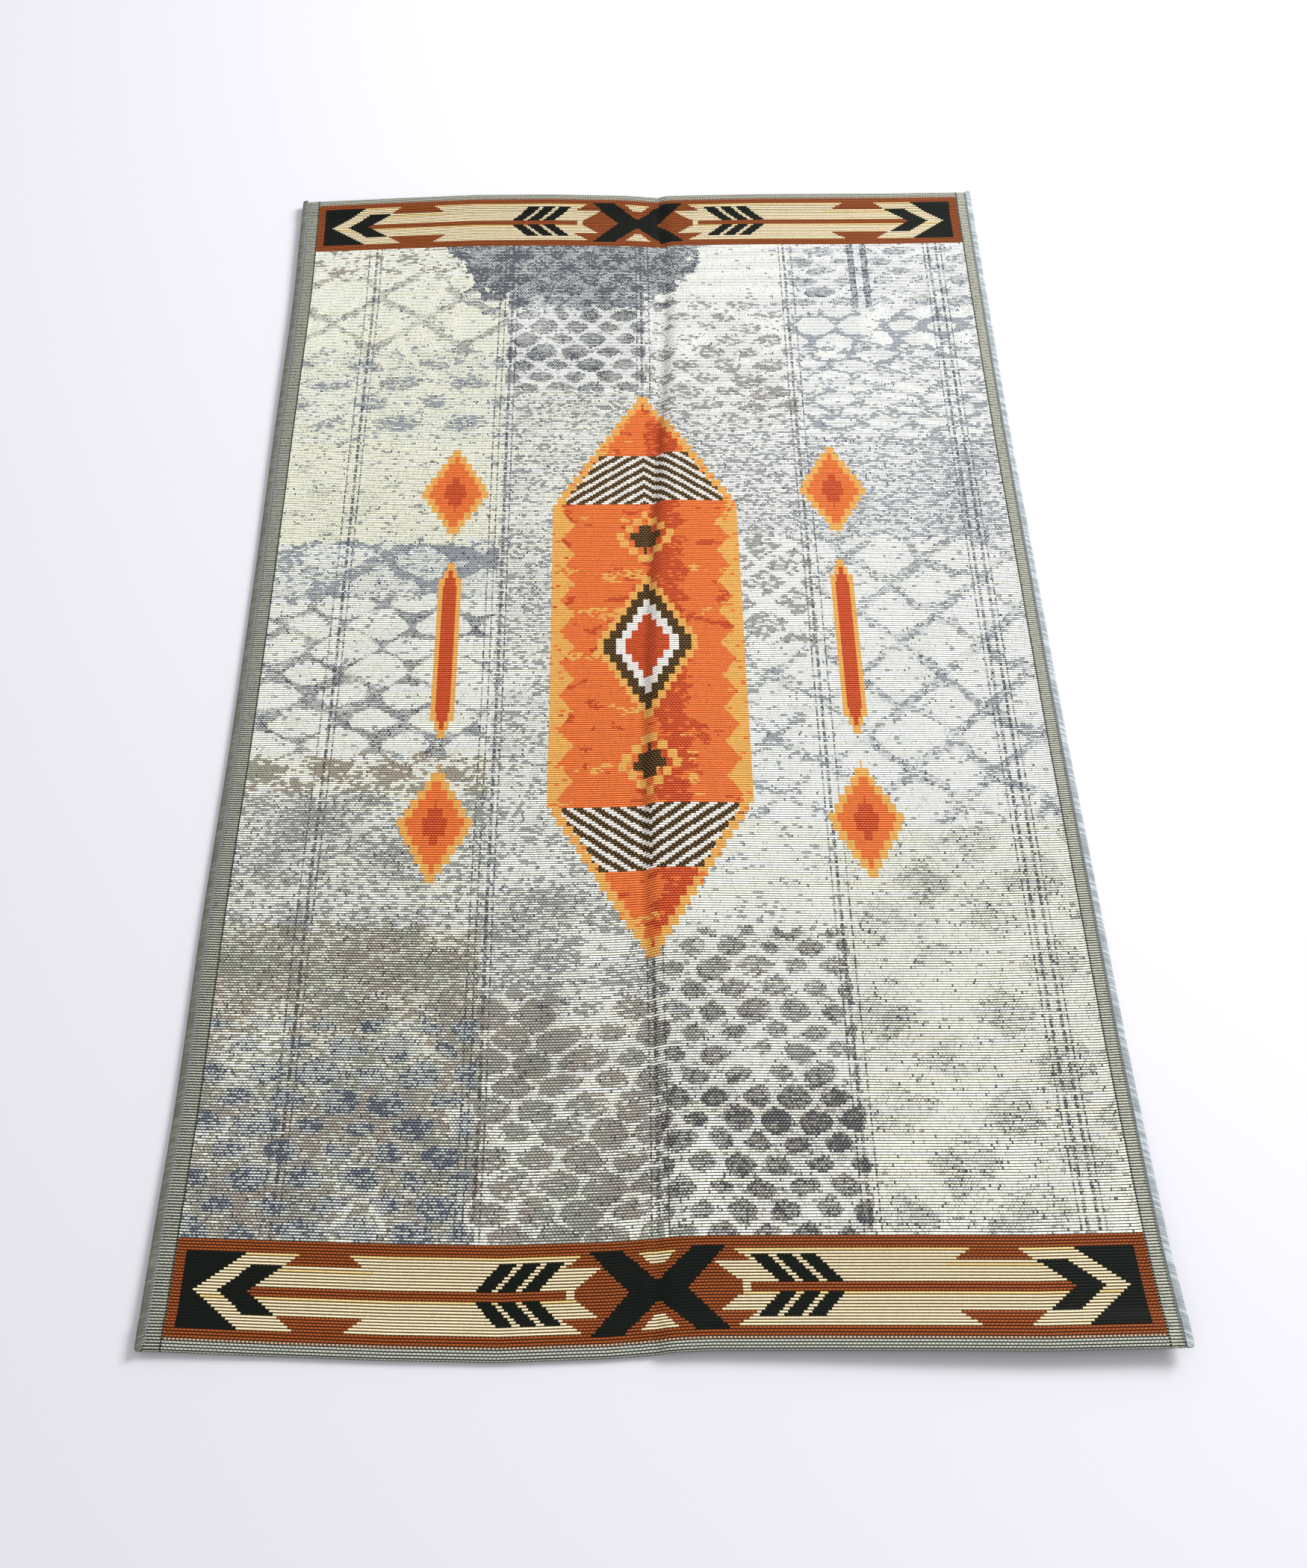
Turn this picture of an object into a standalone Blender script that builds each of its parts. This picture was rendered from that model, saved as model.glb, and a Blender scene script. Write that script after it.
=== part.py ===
"""Flat-woven rug lying on a floor.

Metres, +Z up. X runs across the rug and Y along it, with the near end at -Y.
The cloth is one woven sheet whose two ends are turned under into hems. Each
long side is wrapped by an overlocked binding, a solid of its own. The rug has
been folded lengthwise, so a crease runs down its middle, the cloth to its
right stands a little off the floor, and the outline is slightly uneven.
"""

import math
from collections import namedtuple

import bmesh
import bpy
from mathutils import Vector

# Driving dimensions
RUG_WIDTH = 1.200
RUG_LENGTH = 2.000
CLOTH_THICKNESS = 0.0032
HEM_DEPTH = 0.028
HEM_GAP = 0.0008
HEM_RAMP = 0.022
BINDING_WALL = 0.0020
BINDING_LIP = 0.0055
FIT_GAP = 0.0003

# The strip beside each long edge that the binding holds flat, and the slope inside it
HELD_STRIP = 0.013
EDGE_RAMP = 0.020

# Crease: width of the steep flank on its right, of the low arch on its left,
# and how far each side takes to come down to the floor again
FLANK_WIDTH = 0.022
FLANK_FADE = 0.300
ARCH_WIDTH = 0.055
ARCH_FADE = 0.220

# How far a lift at an edge reaches into the rug
SIDE_LIFT_REACH = 0.100
NEAR_LIFT_REACH = 0.420
FAR_LIFT_REACH = 0.320

# Worked out from the dimensions above
HALF_WIDTH = RUG_WIDTH / 2
HALF_LENGTH = RUG_LENGTH / 2
FOLD_RADIUS = CLOTH_THICKNESS + HEM_GAP / 2
HEM_RAISE = CLOTH_THICKNESS + HEM_GAP
SLOT_HALF = CLOTH_THICKNESS / 2 + FIT_GAP
BINDING_RADIUS = SLOT_HALF + BINDING_WALL
EDGE_RAISE = BINDING_WALL + FIT_GAP
CLOTH_HALF = HALF_WIDTH - BINDING_RADIUS

# Outline of the long sides. An inset draws the side in from the straight line.
SideRow = namedtuple("SideRow", "at left_inset right_inset left_lift")
SIDE_ROWS = (
    SideRow(-1.00, -0.002, -0.001, 0.0025),
    SideRow(-0.88, -0.001, 0.005, 0.0010),
    SideRow(-0.70, 0.002, 0.007, 0.0000),
    SideRow(-0.45, 0.001, 0.009, 0.0000),
    SideRow(-0.15, 0.004, 0.012, 0.0000),
    SideRow(0.15, 0.003, 0.012, 0.0000),
    SideRow(0.45, 0.001, 0.012, 0.0020),
    SideRow(0.75, 0.000, 0.009, 0.0040),
    SideRow(1.00, -0.007, 0.006, 0.0050),
)

# Outline and lift of the two ends, across the rug. A reach moves the end outwards.
EndRow = namedtuple("EndRow", "at near_reach far_reach near_lift far_lift")
END_ROWS = (
    EndRow(-0.60, -0.010, -0.014, 0.0010, 0.000),
    EndRow(-0.50, -0.005, -0.004, 0.0000, 0.002),
    EndRow(-0.38, 0.001, 0.000, 0.0000, 0.004),
    EndRow(-0.25, 0.007, 0.004, 0.0000, 0.005),
    EndRow(-0.12, 0.009, 0.001, 0.0000, 0.004),
    EndRow(-0.04, 0.005, -0.002, 0.0000, 0.002),
    EndRow(0.04, 0.001, -0.005, 0.0010, 0.000),
    EndRow(0.12, 0.002, -0.005, 0.0040, 0.002),
    EndRow(0.27, 0.005, -0.001, 0.0110, 0.003),
    EndRow(0.45, 0.009, 0.001, 0.0140, 0.001),
    EndRow(0.60, 0.008, 0.003, 0.0150, 0.000),
)

# The crease along the rug: its place across, the flank's height on its right,
# and the arch's height on its left
CreaseRow = namedtuple("CreaseRow", "at across flank arch")
CREASE_ROWS = (
    CreaseRow(-1.00, -0.008, 0.0060, 0.0000),
    CreaseRow(-0.86, -0.004, 0.0030, 0.0000),
    CreaseRow(-0.68, -0.002, 0.0070, 0.0000),
    CreaseRow(-0.45, -0.010, 0.0090, 0.0005),
    CreaseRow(-0.20, -0.010, 0.0110, 0.0010),
    CreaseRow(0.05, -0.001, 0.0100, 0.0010),
    CreaseRow(0.30, 0.015, 0.0110, 0.0015),
    CreaseRow(0.55, 0.033, 0.0110, 0.0025),
    CreaseRow(0.80, 0.041, 0.0070, 0.0030),
    CreaseRow(1.00, 0.034, 0.0050, 0.0030),
)

# Columns of the cloth's mesh: distances from the crease, and from each long edge
CREASE_COLUMNS = (-0.055, -0.030, -0.012, 0.0, 0.005, 0.010, 0.016, 0.022, 0.036, 0.065)
EDGE_COLUMNS = (0.0, HELD_STRIP, HELD_STRIP + EDGE_RAMP / 2, HELD_STRIP + EDGE_RAMP)
WIDE_SPANS = 8

# Rows of the cloth's mesh
FIELD_SPANS = 16
FOLD_STEPS = 6
RAMP_STEPS = 3

# The bindings' meshes: steps round the outer edge, and how the ends narrow to a round tip
BINDING_ARC_STEPS = 6
BINDING_NECK_SCALE = 0.90
BINDING_TIP_SCALE = 0.62

# Faces that meet at more than this stay sharp
CLOTH_SHARP_DEGREES = 50
BINDING_SHARP_DEGREES = 40

CLOTH_COLOUR = (0.60, 0.59, 0.54, 1.0)
BINDING_COLOUR = (0.36, 0.40, 0.42, 1.0)


def clamp(value, low, high):
    return max(low, min(high, value))


def ease(share):
    """A smooth step from 0 to 1."""
    t = clamp(share, 0.0, 1.0)
    return t * t * (3.0 - 2.0 * t)


def read_rows(rows, column, at):
    """A column's value at a place between its rows, on a smooth curve through them."""
    last = len(rows) - 1
    at = clamp(at, rows[0].at, rows[last].at)
    i = 0
    while i < last - 1 and rows[i + 1].at < at:
        i += 1
    values = [getattr(rows[clamp(k, 0, last)], column) for k in range(i - 1, i + 3)]
    t = (at - rows[i].at) / (rows[i + 1].at - rows[i].at)
    pull_in = (values[2] - values[0]) / 2
    pull_out = (values[3] - values[1]) / 2
    return (
        values[1] * (2 * t**3 - 3 * t**2 + 1)
        + pull_in * (t**3 - 2 * t**2 + t)
        + values[2] * (3 * t**2 - 2 * t**3)
        + pull_out * (t**3 - t**2)
    )


def crease_lift(x, y):
    """Height of the cloth over the floor near the crease."""
    beside = x - read_rows(CREASE_ROWS, "across", y)
    if beside >= 0:
        height = read_rows(CREASE_ROWS, "flank", y)
        width, fade = FLANK_WIDTH, FLANK_FADE
    else:
        height = read_rows(CREASE_ROWS, "arch", y)
        width, fade = ARCH_WIDTH, ARCH_FADE
    distance = abs(beside)
    rise = math.sin(math.pi / 2 * min(distance / width, 1.0))
    return max(height, 0.0) * rise * (1 - ease((distance - width) / fade))


def edge_lift(x, y):
    """Height that the curling edges add."""
    from_side = (x + HALF_WIDTH - HELD_STRIP) / SIDE_LIFT_REACH
    from_near = (y + HALF_LENGTH) / NEAR_LIFT_REACH
    from_far = (HALF_LENGTH - y) / FAR_LIFT_REACH
    side = read_rows(SIDE_ROWS, "left_lift", y) * (1 - ease(from_side))
    near = read_rows(END_ROWS, "near_lift", x) * (1 - ease(from_near))
    far = read_rows(END_ROWS, "far_lift", x) * (1 - ease(from_far))
    return max(side, 0.0) + max(near, 0.0) + max(far, 0.0)


def lay_down(x, y, height):
    """Where a point of the straight rug comes to lie, with its own height over the underside."""
    held = HALF_WIDTH - HELD_STRIP - BINDING_RADIUS
    x_held = clamp(x, -held, held)
    lift = crease_lift(x_held, y) + edge_lift(x_held, y)
    left = read_rows(SIDE_ROWS, "left_inset", y) * (0.5 - x / RUG_WIDTH)
    right = read_rows(SIDE_ROWS, "right_inset", y) * (0.5 + x / RUG_WIDTH)
    near = read_rows(END_ROWS, "near_reach", x_held) * (0.5 - y / RUG_LENGTH)
    far = read_rows(END_ROWS, "far_reach", x_held) * (0.5 + y / RUG_LENGTH)
    return Vector((x + left - right, y - near + far, lift + height))


def underside_raise(x, y):
    """Height of the top layer's underside: over the turned-under hem and inside the bindings."""
    from_end = HALF_LENGTH - abs(y)
    over_hem = HEM_RAISE * (1 - ease((from_end - HEM_DEPTH - HEM_GAP) / HEM_RAMP))
    from_side = CLOTH_HALF - abs(x)
    in_binding = EDGE_RAISE * (1 - ease((from_side - HELD_STRIP) / EDGE_RAMP))
    return max(over_hem, in_binding)


def cloth_columns(y):
    """Places across the cloth, crowded at the crease and at both long edges."""
    crease = read_rows(CREASE_ROWS, "across", y)
    left_edge = [-CLOTH_HALF + distance for distance in EDGE_COLUMNS]
    right_edge = [CLOTH_HALF - distance for distance in reversed(EDGE_COLUMNS)]
    middle = [crease + distance for distance in CREASE_COLUMNS]
    columns = left_edge[:-1]
    for start, end in ((left_edge[-1], middle[0]), (middle[-1], right_edge[0])):
        step = (end - start) / WIDE_SPANS
        columns += [start + step * k for k in range(WIDE_SPANS + 1)]
        if end == middle[0]:
            columns += middle[1:-1]
    return columns + right_edge[1:]


def hem_path():
    """Outer face of one hem, from its free end under the rug, round the fold, to the field.

    Each entry is the distance from the rug's end and the height over the floor,
    which is None where the top layer's own height holds.
    """
    path = [(HEM_DEPTH, 0.0), (HEM_DEPTH / 2, 0.0)]
    for k in range(FOLD_STEPS):
        angle = math.pi * k / FOLD_STEPS
        path.append((FOLD_RADIUS * (1 - math.sin(angle)), FOLD_RADIUS * (1 - math.cos(angle))))
    path += [(FOLD_RADIUS, None), (HEM_DEPTH / 2, None)]
    for k in range(RAMP_STEPS + 1):
        path.append((HEM_DEPTH + HEM_GAP + HEM_RAMP * k / RAMP_STEPS, None))
    return path


def cloth_path():
    """The outer face along the whole rug, near hem to far hem, as (y, height) pairs."""
    hem = hem_path()
    near = [(distance - HALF_LENGTH, height) for distance, height in hem]
    far = [(HALF_LENGTH - distance, height) for distance, height in reversed(hem)]
    start, end = near[-1][0], far[0][0]
    field = [(start + (end - start) * k / FIELD_SPANS, None) for k in range(1, FIELD_SPANS)]
    return near + field + far


def make_material(name, colour, roughness):
    material = bpy.data.materials.new(name)
    material.use_nodes = True
    shader = material.node_tree.nodes["Principled BSDF"]
    shader.inputs["Base Color"].default_value = colour
    shader.inputs["Roughness"].default_value = roughness
    shader.inputs["Metallic"].default_value = 0.0
    material.diffuse_color = colour
    return material


def finish_object(bm, name, material, collection, sharp_degrees):
    """Turn a bmesh into a named, smooth-shaded object of the rug."""
    mesh = bpy.data.meshes.new(name)
    bm.to_mesh(mesh)
    bm.free()
    mesh.shade_smooth()
    mesh.set_sharp_from_angle(angle=math.radians(sharp_degrees))
    mesh.materials.append(material)
    obj = bpy.data.objects.new(name, mesh)
    collection.objects.link(obj)
    return obj


def make_cloth(material, collection):
    """The woven sheet: a grid over its outer face, given its thickness by Solidify."""
    path = cloth_path()
    rows = len(path)
    columns = len(cloth_columns(0.0))
    under_rows = sum(1 for distance, height in hem_path() if height is not None)
    bm = bmesh.new()
    bmesh.ops.create_grid(bm, x_segments=columns - 1, y_segments=rows - 1, size=1.0)
    turned = []
    places = {}
    for vert in bm.verts:
        column = round((vert.co.x + 1) / 2 * (columns - 1))
        row = round((vert.co.y + 1) / 2 * (rows - 1))
        places[vert] = (column, row)
    for face in bm.faces:
        face_columns = [places[vert][0] for vert in face.verts]
        face_rows = [places[vert][1] for vert in face.verts]
        beside = max(face_columns) <= 1 or min(face_columns) >= columns - 2
        under = max(face_rows) <= under_rows or min(face_rows) >= rows - 1 - under_rows
        if beside and under:
            turned.append(face)
    for vert, (column, row) in places.items():
        y, height = path[row]
        x = cloth_columns(y)[column]
        if height is None:
            height = underside_raise(x, y) + CLOTH_THICKNESS
        vert.co = lay_down(x, y, height)
    # The turned-under layer is cut back at the corners, so the bindings stay thin there.
    bmesh.ops.delete(bm, geom=turned, context="FACES")
    cloth = finish_object(bm, "rug_cloth", material, collection, CLOTH_SHARP_DEGREES)
    solidify = cloth.modifiers.new("thickness", "SOLIDIFY")
    solidify.thickness = CLOTH_THICKNESS
    solidify.offset = -1.0
    solidify.use_even_offset = True
    solidify.use_quality_normals = True
    return rest_on_floor(cloth)


def rest_on_floor(obj):
    """Apply the object's modifiers and let no point of its underside dip below the floor."""
    evaluated = obj.evaluated_get(bpy.context.evaluated_depsgraph_get())
    mesh = bpy.data.meshes.new_from_object(evaluated)
    obj.modifiers.clear()
    obj.data = mesh
    for vert in mesh.vertices:
        vert.co.z = max(vert.co.z, 0.0)
    return obj


def binding_section(slot_depth, scale):
    """The binding's outline across the rug's edge, as (outwards, up) from the cloth's edge."""
    outline = [(-BINDING_LIP, BINDING_RADIUS)]
    for k in range(BINDING_ARC_STEPS + 1):
        angle = math.pi / 2 - math.pi * k / BINDING_ARC_STEPS
        outline.append((BINDING_RADIUS * math.cos(angle), BINDING_RADIUS * math.sin(angle)))
    outline.append((-BINDING_LIP, -BINDING_RADIUS))
    slot_end = slot_depth - BINDING_LIP
    outline += [(-BINDING_LIP, -SLOT_HALF), (slot_end, -SLOT_HALF)]
    outline += [(slot_end, SLOT_HALF), (-BINDING_LIP, SLOT_HALF)]
    middle = -BINDING_LIP / 2
    return [(middle + (out - middle) * scale, up * scale) for out, up in outline]


def binding_rings():
    """Stations along the binding: distance along the rug, slot depth and scale."""
    open_slot = BINDING_LIP + FIT_GAP
    cloth_end = HALF_LENGTH - FOLD_RADIUS
    stations = [y for y, height in cloth_path() if height is None]
    rings = [(y, open_slot, 1.0) for y in stations if abs(y) < cloth_end - FIT_GAP]
    for end in (-1, 1):
        closing = [
            (end * (cloth_end + FIT_GAP), open_slot, 1.0),
            (end * (cloth_end + 3 * FIT_GAP), FIT_GAP, 1.0),
            (end * (HALF_LENGTH - FIT_GAP), FIT_GAP, BINDING_NECK_SCALE),
            (end * (HALF_LENGTH + FIT_GAP), FIT_GAP, BINDING_TIP_SCALE),
        ]
        rings = rings + closing if end > 0 else closing[::-1] + rings
    return rings


def make_binding(name, side, material, collection):
    """One overlocked edge: a closed tube whose section has a slot for the cloth."""
    rings = binding_rings()
    points = len(binding_section(FIT_GAP, 1.0))
    bm = bmesh.new()
    bmesh.ops.create_cone(bm, cap_ends=True, segments=points, radius1=1.0, radius2=1.0, depth=2.0)
    upright = [edge for edge in bm.edges if abs(edge.verts[0].co.z - edge.verts[1].co.z) > 1.0]
    bmesh.ops.subdivide_edges(bm, edges=upright, cuts=len(rings) - 2, use_grid_fill=True)
    for vert in bm.verts:
        y, slot_depth, scale = rings[round((vert.co.z + 1) / 2 * (len(rings) - 1))]
        turn = math.atan2(vert.co.y, vert.co.x) / (2 * math.pi)
        out, up = binding_section(slot_depth, scale)[round(turn * points) % points]
        x = side * CLOTH_HALF
        centre = lay_down(x, y, underside_raise(x, y) + CLOTH_THICKNESS / 2)
        vert.co = centre + Vector((side * out, 0.0, up))
    bm.normal_update()
    bmesh.ops.recalc_face_normals(bm, faces=bm.faces[:])
    return finish_object(bm, name, material, collection, BINDING_SHARP_DEGREES)


def centre_on_origin(objects):
    """Move the rug so that its outline is centred on the origin."""
    holder = bpy.data.objects.new("rug_placement", None)
    objects[0].users_collection[0].objects.link(holder)
    corners = [vert.co for obj in objects for vert in obj.data.vertices]
    for axis in (0, 1):
        low = min(corner[axis] for corner in corners)
        high = max(corner[axis] for corner in corners)
        holder.location[axis] = -(low + high) / 2
    for obj in objects:
        obj.parent = holder


def main():
    for obj in list(bpy.data.objects):
        bpy.data.objects.remove(obj, do_unlink=True)
    collection = bpy.data.collections.new("flat_woven_rug")
    bpy.context.scene.collection.children.link(collection)
    weave = make_material("woven_cloth", CLOTH_COLOUR, 0.75)
    thread = make_material("binding_thread", BINDING_COLOUR, 0.65)
    cloth = make_cloth(weave, collection)
    left = make_binding("left_binding", -1, thread, collection)
    right = make_binding("right_binding", 1, thread, collection)
    centre_on_origin([cloth, left, right])
    bpy.context.view_layer.update()


main()
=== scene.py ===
"""Looks of the flat-woven rug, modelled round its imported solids.

Metres, +Z up. X runs across the rug and Y along it, with the near end at -Y.
The cloth is a thin sheet that lies in the solids' folds, with every rib of its
weave raised. Its colours are worked out stitch by stitch from the place on the
flat cloth, which the sheet's own UV map holds in metres. Each long side has an
overlocked binding and a row of looped stitches along the binding's inner edge.
"""

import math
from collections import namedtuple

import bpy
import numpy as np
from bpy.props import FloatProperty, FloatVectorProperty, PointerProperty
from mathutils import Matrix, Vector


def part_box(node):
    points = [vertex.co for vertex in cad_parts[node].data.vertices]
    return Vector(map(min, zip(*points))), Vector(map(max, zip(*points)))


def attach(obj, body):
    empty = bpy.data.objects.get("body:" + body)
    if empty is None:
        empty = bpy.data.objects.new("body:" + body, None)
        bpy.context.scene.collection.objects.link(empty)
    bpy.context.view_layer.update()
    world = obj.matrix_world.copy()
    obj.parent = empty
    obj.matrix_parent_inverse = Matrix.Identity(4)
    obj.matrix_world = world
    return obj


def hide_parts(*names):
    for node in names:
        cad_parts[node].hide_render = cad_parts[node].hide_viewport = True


bl_info = {
    "name": "Flat-woven rug",
    "version": (1, 0, 0),
    "blender": (4, 5, 0),
    "location": "View3D > Sidebar > Rug",
    "description": "Models a flat-woven rug with arrow borders and overlocked sides",
    "category": "Object",
}

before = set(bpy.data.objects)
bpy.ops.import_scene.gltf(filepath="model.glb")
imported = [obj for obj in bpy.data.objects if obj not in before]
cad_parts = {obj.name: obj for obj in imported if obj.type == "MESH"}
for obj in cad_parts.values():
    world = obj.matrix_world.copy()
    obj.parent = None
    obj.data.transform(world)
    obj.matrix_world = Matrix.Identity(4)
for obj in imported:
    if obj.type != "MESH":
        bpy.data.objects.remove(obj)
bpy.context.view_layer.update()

# Units of the tables: millimetres in a metre, and hundredths
MM = 1000
PERCENT = 100


def table(columns, units, *rows):
    """Rows of numbers whose columns have names. Each number is divided by its column's unit."""
    kind = namedtuple("Row", columns)
    return [kind(*(number / unit for number, unit in zip(row, units))) for row in rows]


# The strip beside each long edge that the binding holds flat, and the slope inside it
HELD_STRIP = 0.013
EDGE_RAMP = 0.020
HEM_RAMP = 0.022
FIT_GAP = 0.0003

# Crease: width of the steep flank on its right, of the low arch on its left,
# and how far each side takes to come down to the floor again
FLANK_WIDTH = 0.022
FLANK_FADE = 0.300
ARCH_WIDTH = 0.055
ARCH_FADE = 0.220

# How far a lift at an edge reaches into the rug
SIDE_LIFT_REACH = 0.100
NEAR_LIFT_REACH = 0.420
FAR_LIFT_REACH = 0.320

# Outline of the long sides. An inset draws the side in from the straight line.
SIDE_ROWS = table(
    "at left_inset right_inset left_lift",
    (MM,) * 4,
    (-1000, -2, -1, 2.5),
    (-880, -1, 5, 1),
    (-700, 2, 7, 0),
    (-450, 1, 9, 0),
    (-150, 4, 12, 0),
    (150, 3, 12, 0),
    (450, 1, 12, 2),
    (750, 0, 9, 4),
    (1000, -7, 6, 5),
)

# Outline and lift of the two ends, across the rug. A reach moves the end outwards.
END_ROWS = table(
    "at near_reach far_reach near_lift far_lift",
    (MM,) * 5,
    (-600, -10, -14, 1, 0),
    (-500, -5, -4, 0, 2),
    (-380, 1, 0, 0, 4),
    (-250, 7, 4, 0, 5),
    (-120, 9, 1, 0, 4),
    (-40, 5, -2, 0, 2),
    (40, 1, -5, 1, 0),
    (120, 2, -5, 4, 2),
    (270, 5, -1, 11, 3),
    (450, 9, 1, 14, 1),
    (600, 8, 3, 15, 0),
)

# The crease along the rug: its place across, the flank's height on its right,
# and the arch's height on its left
CREASE_ROWS = table(
    "at across flank arch",
    (MM,) * 4,
    (-1000, -8, 6, 0),
    (-860, -4, 3, 0),
    (-680, -2, 7, 0),
    (-450, -10, 9, 0.5),
    (-200, -10, 11, 1),
    (50, -1, 10, 1),
    (300, 15, 11, 1.5),
    (550, 33, 11, 2.5),
    (800, 41, 7, 3),
    (1000, 34, 5, 3),
)

# The pinched ridge left of the crease: its distance, width and height, the
# share of it that swells and sinks, and the two waves of that along the rug
MARK_BESIDE = 0.0075
MARK_WIDTH = 0.0045
MARK_HEIGHT = 0.0017
MARK_SWELL = 0.35
MARK_WAVES = (74.0, 203.0)

# Columns of the sheet's mesh: distances from the crease, and from each long edge
CREASE_COLUMNS = (-0.055, -0.030, -0.016, -0.007, 0.0, 0.005, 0.010, 0.016, 0.022, 0.036, 0.065)
EDGE_COLUMNS = (0.0, 0.006, 0.013, 0.023, 0.033)
WIDE_SPANS = 4
ROWS_PER_RIB = 3

# The rug's long sides by name and direction
SIDES = (("left", -1), ("right", 1))

# The bindings' mesh, and how far a binding narrows at its ends
ROWS_PER_THREAD = 4
BINDING_ARC_STEPS = 8
END_NARROWING = 0.45

# Looped stitches: the bare length at both ends together, and their reach onto the binding
LOOP_END_GAP = 0.012
LOOP_TUCK = 0.0006

# The arrow border, in stitches across from the middle and ribs from its middle rib
STRIP_RIB = 257
STRIP_CENTRE = -0.54
STRIP_HALF = 122.4
STRIP_LEFT = 121.6
STRIP_RIGHT = 122.8
FRAME_STITCHES = 2.6
FRAME_RIBS_IN = 16.5
FRAME_RIBS_OUT = 15.5
PATTERN_RIBS = 12.5

# Seams of the patchwork, across the rug: their reach to each side, the pitch of
# their lines and a line's share of it, and in ribs the pitch and length of dashes
SEAMS = (-0.468, -0.228, 0.006, 0.258, 0.516)
STRIP_EDGES = (-0.228, 0.006, 0.258)
SEAM_REACH = 0.016
SEAM_PITCH = 0.0094
SEAM_LINE = 0.42
DASH_PITCH = 6
DASH_RIBS = 4.5

# Two dark stripes near the far end: their middle, each one's distance from it,
# half of its width, and where along the rug they start
STRIPES_AT = 0.382
STRIPE_OFFSET = 0.0115
STRIPE_HALF = 0.0062
STRIPE_START = 0.71

# The dark patch at the far end: its middle and half width, the slope of its
# sides, where it starts, and how ragged its edge is
PATCH_AT = -0.11
PATCH_HALF = 0.165
PATCH_SLOPE = 2.3
PATCH_START = 0.735
PATCH_RAGGED = 0.22

# Figures of the ground: how far the lattice drifts, how ragged and how uneven they
# are, the share of middle yarn round them above which they are cool, their
# roundness across and along, and how ragged the blocks' edges are
LATTICE_DRIFT = 0.45
FIGURE_RAGGED = 0.40
FIGURE_VARY = 0.7
MID_GROUND = 0.41
OVAL_ACROSS = 0.21
OVAL_ALONG = 0.66
BLOCK_RAGGED_ALONG = 0.05
BLOCK_RAGGED_ACROSS = 0.012

# Noise of the ground and of the medallion: scale and detail
RAGGED_NOISE = (38.0, 3.0)
WEAR_NOISE = (9.0, 3.0)
STREAK_NOISE = (5.0, 1.0)
GATHER_NOISE = (24.0, 2.0)
HUE_NOISE = (13.0, 1.0)
MOTTLE_NOISE = (40.0, 3.0)
FLECK_NOISE = (16.0, 3.0)
CORE_NOISE = (18.0, 2.0)

# Medallion, from the rug's middle: half width, rim, taper, teeth and chevron band
STEP_RIBS = 4
BODY_HALF = 0.145
RIM_AT = 0.131
TAPER_START = 0.27
TAPER = 0.60
TOOTH_PITCH = 0.0577
TOOTH_DEPTH = 0.044
TEETH_END = 0.268
CHEVRON_BAND = (0.275, 0.375)
CHEVRON_SLANT = 0.72
CHEVRON_RIBS = 5
CHEVRON_DARK = 0.58

# Half width and half length of the medallion's diamonds, and the side figures' places
CENTRE_SIZE = (0.082, 0.140)
SMALL_SIZE = (0.052, 0.055)
SMALL_AT = 0.205
SIDE_SIZE = (0.058, 0.100)
SIDE_AT = 0.300
BAR_LENGTH = 0.120

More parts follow.
